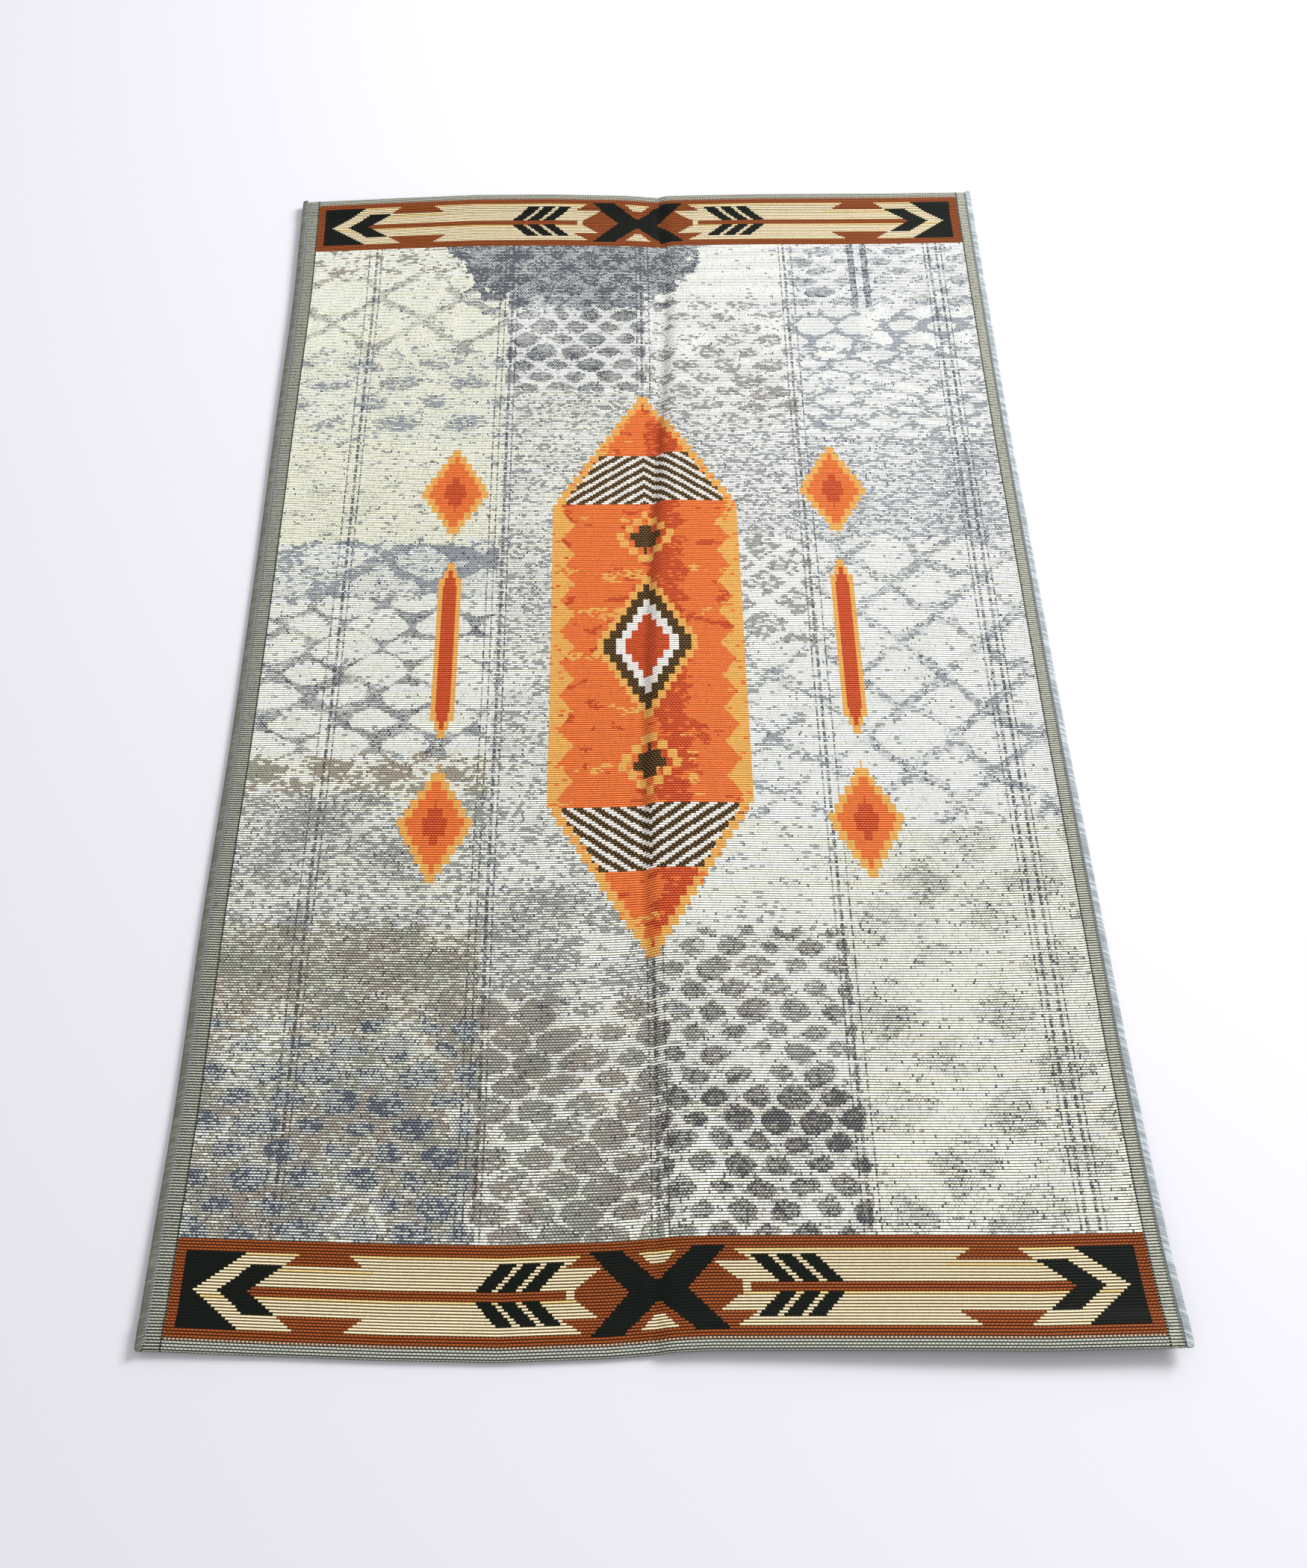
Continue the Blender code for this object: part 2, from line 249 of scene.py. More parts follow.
# The patchwork ground. Each block starts at a place along the rug and runs to
# the next in its strip. Its figures are ovals on a slanting lattice: spacing
# across and along, size as a share of the lattice, and how angular they are.
# Shares of middle and dark stitches are given inside and outside a figure, and
# warmth runs from slate to taupe for those stitches and white to cream for the rest.
BLOCKS = table(
    "strip start across along size angular mid_in dark_in mid_out dark_out warm cream",
    (1, MM, MM, MM, *(PERCENT,) * 8),
    (0, -1000, 66, 66, 66, 20, 4, 100, 52, 40, 85, 60),
    (0, -590, 260, 150, 80, 100, 56, 44, 32, 36, 90, 75),
    (0, -455, 180, 120, 60, 60, 30, 24, 40, 28, 55, 50),
    (0, -250, 92, 85, 62, 20, 85, 10, 30, 8, 100, 60),
    (0, -190, 100, 85, 84, 30, 3, 6, 22, 58, 35, 45),
    (0, 90, 165, 110, 76, 100, 14, 20, 90, 42, 10, 40),
    (0, 200, 100, 90, 30, 20, 12, 16, 3, 8, 40, 100),
    (0, 410, 115, 90, 50, 20, 50, 30, 8, 12, 5, 85),
    (0, 610, 150, 125, 86, 90, 2, 4, 12, 40, 45, 75),
    (0, 800, 80, 58, 60, 20, 48, 6, 8, 5, 85, 45),
    (1, -1000, 60, 64, 80, 10, 84, 40, 6, 26, 80, 50),
    (1, -560, 120, 90, 66, 80, 60, 24, 26, 28, 50, 50),
    (1, -400, 100, 80, 60, 50, 40, 10, 16, 20, 40, 45),
    (1, 510, 56, 58, 74, 40, 40, 74, 4, 14, 40, 10),
    (1, 715, 60, 56, 64, 30, 34, 110, 20, 60, 10, 0),
    (2, -1000, 50, 58, 72, 30, 40, 112, 8, 26, 80, 45),
    (2, -680, 52, 58, 66, 30, 48, 62, 6, 18, 70, 45),
    (2, -470, 120, 80, 30, 20, 14, 10, 6, 7, 30, 60),
    (2, -310, 125, 105, 84, 100, 5, 5, 46, 12, 20, 30),
    (2, 0, 90, 75, 78, 90, 56, 6, 2, 2, 60, 15),
    (2, 200, 110, 90, 50, 30, 36, 16, 30, 14, 35, 10),
    (2, 450, 72, 60, 68, 30, 60, 16, 4, 10, 60, 5),
    (2, 620, 72, 60, 64, 30, 44, 10, 4, 6, 50, 5),
    (2, 720, 90, 70, 50, 30, 6, 6, 1, 2, 40, 30),
    (3, -1000, 150, 130, 60, 90, 4, 34, 2, 14, 60, 70),
    (3, -310, 125, 110, 82, 90, 3, 6, 34, 24, 15, 25),
    (3, 190, 120, 80, 50, 30, 46, 16, 32, 22, 10, 5),
    (3, 400, 80, 52, 66, 10, 6, 4, 56, 12, 10, 20),
    (3, 610, 74, 70, 80, 10, 1, 2, 86, 10, 5, 20),
    (3, 700, 70, 50, 60, 30, 16, 46, 5, 10, 5, 0),
)

# A stitch, as shares of half its width and half its rib: reach of its dash across
# and along, where a thread bridges the groove, and where a tick parts two stitches
DASH_ACROSS = 0.60
DASH_ALONG = 0.40
BRIDGE_FROM = 0.74
TICK_FROM = 0.76
BRIDGE_RISE = 0.4
TICK_DEPTH = 0.8

# How much stitches differ in lightness, and how much duller the back of the cloth is
STITCH_VARY = 0.18
BACK_DULLING = 0.55

# Overlocked thread: its slant round the edge, strands in a thread, and the gap's start
THREAD_SLANT = 0.8
STRANDS = 3
GAP_FROM = 0.78

# Camera, from the photograph's own perspective
CAMERA_PLACE = (-0.01588, -1.37141, 1.8599)
CAMERA_TURN = (31.388, -0.037, -0.937)
CAMERA_LENS = 35.86
CAMERA_SENSOR = 36.0

# Lights: where each hangs, what it faces and its size. Floor: its size and drop.
KEY_PLACE = (4.4, 2.6, 3.8)
KEY_TARGET = (0.0, 0.0, 0.0)
FAR_PLACE = (1.6, 3.4, 2.4)
FAR_TARGET = (0.3, 0.4, 0.0)
LIGHT_SIZE = 2.4
SKY_SHADE = (0.985, 0.985, 1.0, 1.0)
FLOOR_SIZE = 60.0
FLOOR_DROP = 0.0002


def linear(part):
    """A channel of a picture's colour, 0 to 255, as linear light."""
    share = part / 255
    return share / 12.92 if share <= 0.04045 else ((share + 0.055) / 1.055) ** 2.4


def metres(name, text, default):
    """A length that the user can change."""
    return FloatProperty(name=name, description=text, default=default, unit="LENGTH", precision=5)


def watts(name, text, default):
    """A light's power that the user can change."""
    return FloatProperty(name=name, description=text, default=default, unit="POWER")


def dye(name, text, *channels):
    """A colour that the user can change, given as red, green and blue from 0 to 255."""
    default = tuple(linear(part) for part in channels)
    return FloatVectorProperty(
        name=name, description=text, default=default, subtype="COLOR", size=3, min=0.0, max=1.0
    )


class RugClothSizes(bpy.types.PropertyGroup):
    """Sizes of the woven sheet."""

    width: metres("Width", "Width of the rug over its bindings", 1.200)
    length: metres("Length", "Length of the rug between its folded ends", 2.000)
    thickness: metres("Thickness", "Thickness of the cloth over its ribs", 0.0032)
    hem_depth: metres("Hem depth", "Depth of the hem turned under at each end", 0.028)
    hem_gap: metres("Hem gap", "Air between the cloth and its turned hem", 0.0008)
    rib: metres("Rib", "Distance from one rib of the weave to the next", 2.0 / 555)
    rib_depth: metres("Rib depth", "Depth of the groove between two ribs", 0.0007)
    stitch: metres("Stitch", "Width of one stitch across the rug", 0.004667)


class RugBindingSizes(bpy.types.PropertyGroup):
    """Sizes of the overlocked bindings."""

    wall: metres("Wall", "Thread that lies over and under the cloth", 0.0020)
    lip: metres("Lip", "How far the binding covers the cloth", 0.0055)
    thread: metres("Thread", "Distance from one wound thread to the next", 0.0030)
    thread_depth: metres("Thread depth", "Depth of the gap between threads", 0.00035)
    loop: metres("Loop", "Length of one looped stitch along the edge", 0.0036)
    loop_reach: metres("Loop reach", "Width of the row of looped stitches", 0.0034)
    loop_thread: metres("Loop thread", "Diameter of the looped thread", 0.0010)


class RugColours(bpy.types.PropertyGroup):
    """Colours of the yarns, among them painted highlights and painted shade."""

    # Cream: painted highlight, the lighter top of each stitch of the arrow ground.
    cream: dye("Cream", "Top of each stitch of the arrow ground", 255, 248, 222)
    straw: dye("Straw", "Arrow ground", 246, 222, 168)
    # Cream groove: painted shade, darkening the grooves between the ribs.
    cream_groove: dye("Cream groove", "Grooves of the arrow ground", 62, 40, 16)
    golden: dye("Golden", "First rib below a rust band", 246, 208, 120)
    rust: dye("Rust", "Border frame", 126, 58, 20)
    # Light rust: painted highlight on the top of each rust stitch, and the real colour of the end
    # band's first rib.
    rust_light: dye("Light rust", "Short dash on each rust stitch", 178, 98, 48)
    # Dark rust: painted shade, darkening the grooves of the rust border and of the hem.
    rust_dark: dye("Dark rust", "Grooves of the rust border", 48, 18, 5)
    black: dye("Black", "Arrow heads and crosses", 16, 21, 16)
    edge_light: dye("Edge light", "Light stitches of the grey ends", 200, 202, 188)
    edge_dark: dye("Edge dark", "Gaps of the grey edges", 24, 30, 24)
    selvage: dye("Selvage", "Light stitches beside the bindings", 200, 201, 184)
    hem: dye("Hem", "Brown edge of the turned hems", 104, 72, 34)
    white: dye("White", "Cool light yarn of the ground", 252, 254, 251)
    pale: dye("Pale", "Warm light yarn of the ground", 250, 250, 226)
    # Cool and warm grooves: painted shade between the ribs of the light yarn.
    groove_cool: dye("Cool groove", "Grooves of the cool light yarn", 62, 68, 68)
    groove_warm: dye("Warm groove", "Grooves of the warm light yarn", 64, 58, 38)
    slate: dye("Slate", "Cool middle yarn of the ground", 170, 177, 182)
    taupe: dye("Taupe", "Warm middle yarn of the ground", 172, 158, 140)
    olive: dye("Olive", "Greenish middle yarn of the ground", 164, 164, 144)
    ink: dye("Ink", "Cool dark yarn of the ground", 44, 54, 70)
    umber: dye("Umber", "Warm dark yarn of the ground", 44, 38, 34)
    orange: dye("Orange", "Medallion", 246, 114, 56)
    red: dye("Red", "Deep shade of the medallion", 206, 62, 34)
    apricot: dye("Apricot", "Outline of the medallion", 252, 184, 96)
    # The two thread colours are lit and shaded copies: the left binding's thread is painted darker
    # as shade, and the right one's lighter as a painted highlight, for the key light on the right.
    thread: dye("Thread", "Overlocked thread of the left edge", 130, 130, 118)
    thread_lit_right: dye("Right thread", "The same of the right edge", 196, 208, 214)
    # Dark thread: painted shade in the gaps between wound threads and between strands, also mixed in
    # by noise as the thread's uneven tone.
    thread_dark: dye("Dark thread", "Gaps of the overlocked thread", 62, 62, 50)
    loop: dye("Loop", "Looped white stitches", 206, 218, 226)


class RugStageSettings(bpy.types.PropertyGroup):
    """Floor and light."""

    floor: dye("Floor", "Plain pale floor", 227, 226, 232)
    key: watts("Key", "Power of the soft key light", 414.0)
    sheen: watts("Sheen", "Power of the far light", 22.0)
    sky: FloatProperty(name="Sky", description="Strength of the even light all round", default=0.62)


def ease(share):
    """A smooth step from 0 to 1."""
    t = np.clip(share, 0.0, 1.0)
    return t * t * (3.0 - 2.0 * t)


def read_rows(rows, column, at):
    """A column's values at places between its rows, on a smooth curve through them."""
    places = np.array([row.at for row in rows])
    values = np.array([getattr(row, column) for row in rows])
    last = len(rows) - 1
    at = np.clip(at, places[0], places[last])
    i = np.clip(np.searchsorted(places, at) - 1, 0, last - 1)
    before, start, end, after = (values[np.clip(i + k, 0, last)] for k in (-1, 0, 1, 2))
    t = (at - places[i]) / (places[i + 1] - places[i])
    pull_in = (end - before) / 2
    pull_out = (after - start) / 2
    return (
        start * (2 * t**3 - 3 * t**2 + 1)
        + pull_in * (t**3 - 2 * t**2 + t)
        + end * (3 * t**2 - 2 * t**3)
        + pull_out * (t**3 - t**2)
    )


class Lay:
    """How the straight rug comes to lie on the floor: the same folds as the solids have."""

    def __init__(self, cloth, binding):
        self.half_width = cloth.width / 2
        self.half_length = cloth.length / 2
        self.thickness = cloth.thickness
        self.hem_depth = cloth.hem_depth
        self.fold_radius = cloth.thickness + cloth.hem_gap / 2
        self.hem_raise = cloth.thickness + cloth.hem_gap
        self.hem_gap = cloth.hem_gap
        self.slot_half = cloth.thickness / 2 + FIT_GAP
        self.binding_radius = self.slot_half + binding.wall
        self.edge_raise = binding.wall + FIT_GAP
        self.cloth_half = self.half_width - self.binding_radius
        self.fold_start = self.half_length - self.fold_radius
        self.placement = np.zeros(2)

    def crease_lift(self, x, y):
        """Height of the cloth over the floor near the crease."""
        beside = x - read_rows(CREASE_ROWS, "across", y)
        right = beside >= 0
        flank = read_rows(CREASE_ROWS, "flank", y)
        arch = read_rows(CREASE_ROWS, "arch", y)
        height = np.where(right, flank, arch)
        width = np.where(right, FLANK_WIDTH, ARCH_WIDTH)
        fade = np.where(right, FLANK_FADE, ARCH_FADE)
        distance = np.abs(beside)
        rise = np.sin(math.pi / 2 * np.minimum(distance / width, 1.0))
        return np.maximum(height, 0.0) * rise * (1 - ease((distance - width) / fade))

    def fold_mark(self, x, y):
        """Height of the narrow pinched ridge that the fold left beside the crease."""
        beside = x - read_rows(CREASE_ROWS, "across", y)
        ridge = np.exp(-(((beside + MARK_BESIDE) / MARK_WIDTH) ** 2))
        long_wave, short_wave = MARK_WAVES
        waves = np.sin(y * long_wave) * np.sin(y * short_wave + 1.0)
        return MARK_HEIGHT * ridge * (1 - MARK_SWELL + MARK_SWELL * waves)

    def edge_lift(self, x, y):
        """Height that the curling edges add."""
        from_side = (x + self.half_width - HELD_STRIP) / SIDE_LIFT_REACH
        from_near = (y + self.half_length) / NEAR_LIFT_REACH
        from_far = (self.half_length - y) / FAR_LIFT_REACH
        side = read_rows(SIDE_ROWS, "left_lift", y) * (1 - ease(from_side))
        near = read_rows(END_ROWS, "near_lift", x) * (1 - ease(from_near))
        far = read_rows(END_ROWS, "far_lift", x) * (1 - ease(from_far))
        return np.maximum(side, 0.0) + np.maximum(near, 0.0) + np.maximum(far, 0.0)

    def down(self, x, y, height):
        """Where points of the straight rug come to lie, with their height over the underside."""
        held = self.half_width - HELD_STRIP - self.binding_radius
        x_held = np.clip(x, -held, held)
        lift = self.crease_lift(x_held, y) + self.fold_mark(x_held, y) + self.edge_lift(x_held, y)
        across = x / (2 * self.half_width)
        along = y / (2 * self.half_length)
        left = read_rows(SIDE_ROWS, "left_inset", y) * (0.5 - across)
        right = read_rows(SIDE_ROWS, "right_inset", y) * (0.5 + across)
        near = read_rows(END_ROWS, "near_reach", x_held) * (0.5 - along)
        far = read_rows(END_ROWS, "far_reach", x_held) * (0.5 + along)
        place_x = x + left - right + self.placement[0]
        place_y = y - near + far + self.placement[1]
        return np.stack([place_x, place_y, lift + height], axis=-1)

    def underside_raise(self, x, y):
        """Height of the top layer's underside: over the turned hem and inside the bindings."""
        from_end = self.half_length - np.abs(y)
        over_hem = self.hem_raise * (1 - ease((from_end - self.hem_depth - self.hem_gap) / HEM_RAMP))
        from_side = self.cloth_half - np.abs(x)
        in_binding = self.edge_raise * (1 - ease((from_side - HELD_STRIP) / EDGE_RAMP))
        return np.maximum(over_hem, in_binding)

    def sheet_length(self):
        """Half of the sheet's own length, from its middle to the hem's free end."""
        return self.fold_start + math.pi * self.fold_radius + self.hem_depth - self.fold_radius

    def sheet_point(self, x, along, offset):
        """A point of the sheet, offset outwards from its outer face."""
        past = np.abs(along) - self.fold_start
        turn = np.clip(past / self.fold_radius, 0.0, math.pi)
        under = np.maximum(past - math.pi * self.fold_radius, 0.0)
        radius = self.fold_radius + offset
        y = np.minimum(np.abs(along), self.fold_start) + radius * np.sin(turn) - under
        y = np.sign(along) * y
        top = self.underside_raise(x, y) + self.thickness + offset
        height = np.where(past > 0, self.fold_radius + radius * np.cos(turn), top)
        return self.down(x, y, height)

    def fit_to_frame(self):
        """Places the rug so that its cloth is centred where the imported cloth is."""
        x = np.linspace(-self.cloth_half, self.cloth_half, 201)
        y = np.linspace(-self.half_length, self.half_length, 401)
        xs, ys = (part.ravel() for part in np.meshgrid(x, y))
        spots = self.down(xs, ys, np.zeros(xs.shape))[:, :2]
        low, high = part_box("rug_cloth")
        packed = (np.array(low) + np.array(high)) / 2
        self.placement = packed[:2] - (spots.min(axis=0) + spots.max(axis=0)) / 2


def lay_of(scene):
    """How the rug lies at its present sizes."""
    lay = Lay(scene.rug_cloth, scene.rug_binding)
    lay.fit_to_frame()
    return lay


def deselect():
    """Leaves nothing selected, so that the next tool acts on its own piece alone."""
    if bpy.context.object is not None and bpy.context.object.mode != "OBJECT":
        bpy.ops.object.mode_set(mode="OBJECT")
    bpy.ops.object.select_all(action="DESELECT")


def pick(piece):
    """Selects one piece alone and makes it the active one."""
    deselect()
    piece.select_set(True)
    bpy.context.view_layer.objects.active = piece


def add_grid(name, columns, rows):
    """A flat grid primitive, 2 m wide and long."""
    deselect()
    bpy.ops.mesh.primitive_grid_add(x_subdivisions=columns - 1, y_subdivisions=rows - 1, size=2.0)
    piece = bpy.context.object
    piece.name = piece.data.name = name
    return piece


def grid_places(piece, columns, rows):
    """The column and row of each vertex of a grid that is still flat."""
    flat = np.zeros(len(piece.data.vertices) * 3, np.float32)
    piece.data.vertices.foreach_get("co", flat)
    flat = flat.reshape(-1, 3)
    column = np.rint((flat[:, 0] + 1) / 2 * (columns - 1)).astype(int)
    row = np.rint((flat[:, 1] + 1) / 2 * (rows - 1)).astype(int)
    return column, row


def ridge_height(row, rows_per_ridge):
    """0 in each groove and near 1 on each ridge, for rows counted from a groove."""
    return np.sin(math.pi * np.mod(row, rows_per_ridge) / rows_per_ridge)


def move_points(piece, points):
    """Puts a piece's vertices at new places, none of them under the floor."""
    points[:, 2] = np.maximum(points[:, 2], 0.0)
    piece.data.vertices.foreach_set("co", points.astype(np.float32).ravel())
    piece.data.update()


def write_uv(piece, name, per_vertex):
    """A UV map from one pair of numbers for each vertex."""
    mesh = piece.data
    for old in list(mesh.uv_layers):
        mesh.uv_layers.remove(old)
    layer = mesh.uv_layers.new(name=name)
    corner_vertex = np.zeros(len(mesh.loops), np.int32)
    mesh.loops.foreach_get("vertex_index", corner_vertex)
    layer.uv.foreach_set("vector", per_vertex[corner_vertex].astype(np.float32).ravel())


def write_value(piece, name, values):
    """A number for each vertex."""
    attribute = piece.data.attributes.new(name, "FLOAT", "POINT")
    attribute.data.foreach_set("value", values.astype(np.float32))


def finish_piece(piece, material, nodes, angle):
    """Shades the piece, gives it its material and lets it ride on the rug's one body."""
    pick(piece)
    bpy.ops.object.shade_smooth_by_angle(angle=math.radians(angle))
    piece.data.materials.clear()
    piece.data.materials.append(material)
    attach(piece, "root")
    if nodes:
        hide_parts(*nodes)


def operator(operation, reflected=False):
    """A method that works out one Math operation on two values."""
    if reflected:
        return lambda self, other: self.math(operation, other, self)
    return lambda self, other: self.math(operation, self, other)


class Number:
    """A value in a material's nodes. Python's operators on it add the nodes."""

    def __init__(self, nodes, socket):
        self.nodes = nodes
        self.socket = socket

    def math(self, operation, *inputs):
        return self.nodes.add("ShaderNodeMath", {"operation": operation}, inputs)

    __add__, __radd__ = operator("ADD"), operator("ADD", reflected=True)
    __sub__, __rsub__ = operator("SUBTRACT"), operator("SUBTRACT", reflected=True)
    __mul__, __rmul__ = operator("MULTIPLY"), operator("MULTIPLY", reflected=True)
    __truediv__, __rtruediv__ = operator("DIVIDE"), operator("DIVIDE", reflected=True)
    __mod__ = operator("FLOORED_MODULO")
    __lt__ = operator("LESS_THAN")
    __gt__ = operator("GREATER_THAN")
    __and__ = operator("MULTIPLY")
    __or__ = most = operator("MAXIMUM")
    least = operator("MINIMUM")

    def __abs__(self):
        return self.math("ABSOLUTE", self)

    def floor(self):
        return self.math("FLOOR", self)

    def root(self):
        return self.math("SQRT", self)

    def between(self, low, high):
        return (self > low) & (self < high)

    def outputs(self):
        """All the outputs of the node that this value comes from."""
        return [Number(self.nodes, output) for output in self.socket.node.outputs]

    def parts(self):
        """The three numbers of a vector or colour."""
        return self.nodes.add("ShaderNodeSeparateXYZ", None, (self,)).outputs()


class MaterialNodes:
    """The nodes of one material."""

    def __init__(self, name):
        self.material = bpy.data.materials.new(name)
        self.material.use_nodes = True
        self.tree = self.material.node_tree
        self.shader = self.tree.nodes["Principled BSDF"]

    def add(self, kind, settings=None, inputs=(), output=0):
        """Adds a node, sets it, fills or links its sockets, and gives one of its outputs."""
        node = self.tree.nodes.new(kind)
        for name, value in (settings or {}).items():
            if name == "stops":
                self.set_stops(node.color_ramp, value)
            else:
                setattr(node, name, value)
        pairs = inputs.items() if isinstance(inputs, dict) else enumerate(inputs)
        for key, value in pairs:
            if isinstance(value, Number):
                self.tree.links.new(value.socket, node.inputs[key])
            else:
                node.inputs[key].default_value = value
        return Number(self, node.outputs[output])

    def set_stops(self, ramp, stops):
        """Steps of colour, each with its place and the colour that starts there."""
        ramp.interpolation = "CONSTANT"
        while len(ramp.elements) < len(stops):
            ramp.elements.new(1.0)
        for element, (place, shade) in zip(ramp.elements, stops):
            element.position = place
            element.color = shade

    def blend(self, mask, under, over):
        """Colour over where the mask is 1, and under where it is 0."""
        settings = {"data_type": "RGBA", "clamp_factor": True}
        shades = [s if isinstance(s, Number) else (*s, 1.0) for s in (under, over)]
        return self.add("ShaderNodeMix", settings, {0: mask, 6: shades[0], 7: shades[1]}, 2)

    def mix(self, mask, under, over):
        """Number over where the mask is 1, and under where it is 0."""
        settings = {"data_type": "FLOAT", "clamp_factor": True}
        return self.add("ShaderNodeMix", settings, {0: mask, 2: under, 3: over}, 0)

    def vector(self, x, y, z=0.0):
        return self.add("ShaderNodeCombineXYZ", None, (x, y, z))

    def paint(self, shade, *coats):
        """Lays colours over a shade in turn, each where its mask is 1."""
        for mask, coat in coats:
            shade = self.blend(mask, shade, coat)
        return shade

    def scale(self, shade, by):
        """A colour made darker or lighter."""
        return self.add("ShaderNodeVectorMath", {"operation": "SCALE"}, {0: shade, "Scale": by})

    def chance(self, dimensions, place, output=0):
        """A chance from 0 to 1 for each cell of the cloth, or three of them from output 1."""
        settings = {"noise_dimensions": dimensions}
        socket = "W" if dimensions == "1D" else "Vector"
        return self.add("ShaderNodeTexWhiteNoise", settings, {socket: place}, output)

    def noise(self, x, y, scale, detail=2.0):
        """Soft noise about 0.5 at a place on the cloth."""
        settings = {"noise_dimensions": "2D"}
        inputs = {"Vector": self.vector(x, y), "Scale": scale, "Detail": detail}
        return self.add("ShaderNodeTexNoise", settings, inputs, 0)

    def set_uniform(self, **values):
        """Values that are the same all over the surface."""
        for name, value in values.items():
            self.shader.inputs[name.replace("_", " ")].default_value = value

    def link(self, name, value):
        self.tree.links.new(value.socket, self.shader.inputs[name])

    def bump(self, height, distance):
        """Fine relief that only the shading shows."""
        inputs = {"Strength": 0.5, "Distance": distance, "Height": height}
        self.link("Normal", self.add("ShaderNodeBump", None, inputs))


class Weave:
    """Places on the flat cloth, counted in stitches across and ribs along."""

    def __init__(self, nodes, cloth):
        self.rib = cloth.rib
        uv = nodes.add("ShaderNodeUVMap", {"uv_map": "flat_cloth"})
        x, y, unused = uv.parts()
        rib_place = y / cloth.rib
        self.row = rib_place.floor()
        self.in_rib = rib_place - self.row
        self.y = (self.row + 0.5) * cloth.rib
        self.from_middle = abs(self.row + 0.5)

        half_place = x / (cloth.stitch / 2)
        half_column = half_place.floor()
        self.x = (half_column + 0.5) * (cloth.stitch / 2)
        self.from_centre = self.x / cloth.stitch - STRIP_CENTRE
        self.strip_half = nodes.mix(self.from_centre > 0, STRIP_LEFT, STRIP_RIGHT)
        staggered = half_place / 2 + (self.row % 2.0) * 0.5
        self.in_stitch = staggered - staggered.floor()
        cell = nodes.vector(half_column, self.row)
        self.chance, self.second_chance, self.third_chance = nodes.chance("2D", cell, 1).parts()
        run = nodes.vector(((half_column + self.row * 5.3) / 3).floor(), self.row, 3.0)
        self.run_chance = nodes.chance("3D", run)


# How a yarn shows in the weave: its ridge, the short dash on each stitch, the groove between ribs
# and its share of a rib, and how often a tick parts two stitches. A lighter dash is a painted
# highlight on the stitch's top, and a darker groove is painted shade between the ribs.
Yarn = namedtuple("Yarn", "ridge dash groove share tick")


def lay_yarn(nodes, mask, under, over):
    """One yarn's look over another's, where the mask is 1."""
    return Yarn(
        nodes.blend(mask, under.ridge, over.ridge),
        nodes.blend(mask, under.dash, over.dash),
        nodes.blend(mask, under.groove, over.groove),
        nodes.mix(mask, under.share, over.share),
        nodes.mix(mask, under.tick, over.tick),
    )


def block_ramp(nodes, place, strip, names):
    """Four of a strip's block values, read along the rug."""
    stops = []
    for block in BLOCKS:
        if block.strip == strip:
            values = [getattr(block, name) for name in names]
            stops.append(((block.start + 1) / 2, values))
    return nodes.add("ShaderNodeValToRGB", {"stops": stops}, (place,)).outputs()


def block_values(nodes, weave, ragged):
    """The patchwork's values at a stitch, by the names of the block table."""
    place = (weave.y + (ragged - 0.5) * BLOCK_RAGGED_ALONG + 1) / 2
    strip_place = weave.x + (ragged - 0.5) * BLOCK_RAGGED_ACROSS
    sets = (
        ("mid_in", "dark_in", "mid_out", "dark_out"),
        ("across", "along", "size", "angular"),
        ("warm", "cream", "strip", "strip"),
    )
    found = {}
    for names in sets:
        ramp, alpha = block_ramp(nodes, place, 0, names)
        for strip, edge in enumerate(STRIP_EDGES, 1):
            next_ramp, next_alpha = block_ramp(nodes, place, strip, names)
            beyond = strip_place > edge
            ramp = nodes.blend(beyond, ramp, next_ramp)
            alpha = nodes.mix(beyond, alpha, next_alpha)
        found.update(zip(names, [*ramp.parts(), alpha]))
    return found


def figure_mask(nodes, weave, block, ragged, wear):
    """1 inside the figures of a slanting lattice, which wanders and varies a little."""
    drift = (wear - 0.5) * LATTICE_DRIFT
    across = weave.x / block["across"] + drift
    along = weave.y / block["along"] + drift
    slant_a, slant_b = across + along, across - along
    number_a, number_b = slant_a.floor(), slant_b.floor()
    figure = nodes.vector(number_a, number_b)
    size_chance = nodes.chance("2D", figure)
    a = (slant_a - number_a - 0.5) * 2
    b = (slant_b - number_b - 0.5) * 2
    wide, tall = a + b, a - b
    oval = (wide * wide * OVAL_ACROSS + tall * tall * OVAL_ALONG).root()
    shape = nodes.mix(block["angular"], oval, abs(a).most(abs(b)))
    shape = shape + (ragged - 0.5) * FIGURE_RAGGED
    vary = (size_chance - 0.5) * (1 - block["angular"]) * FIGURE_VARY + 1
    return shape < block["size"] * vary


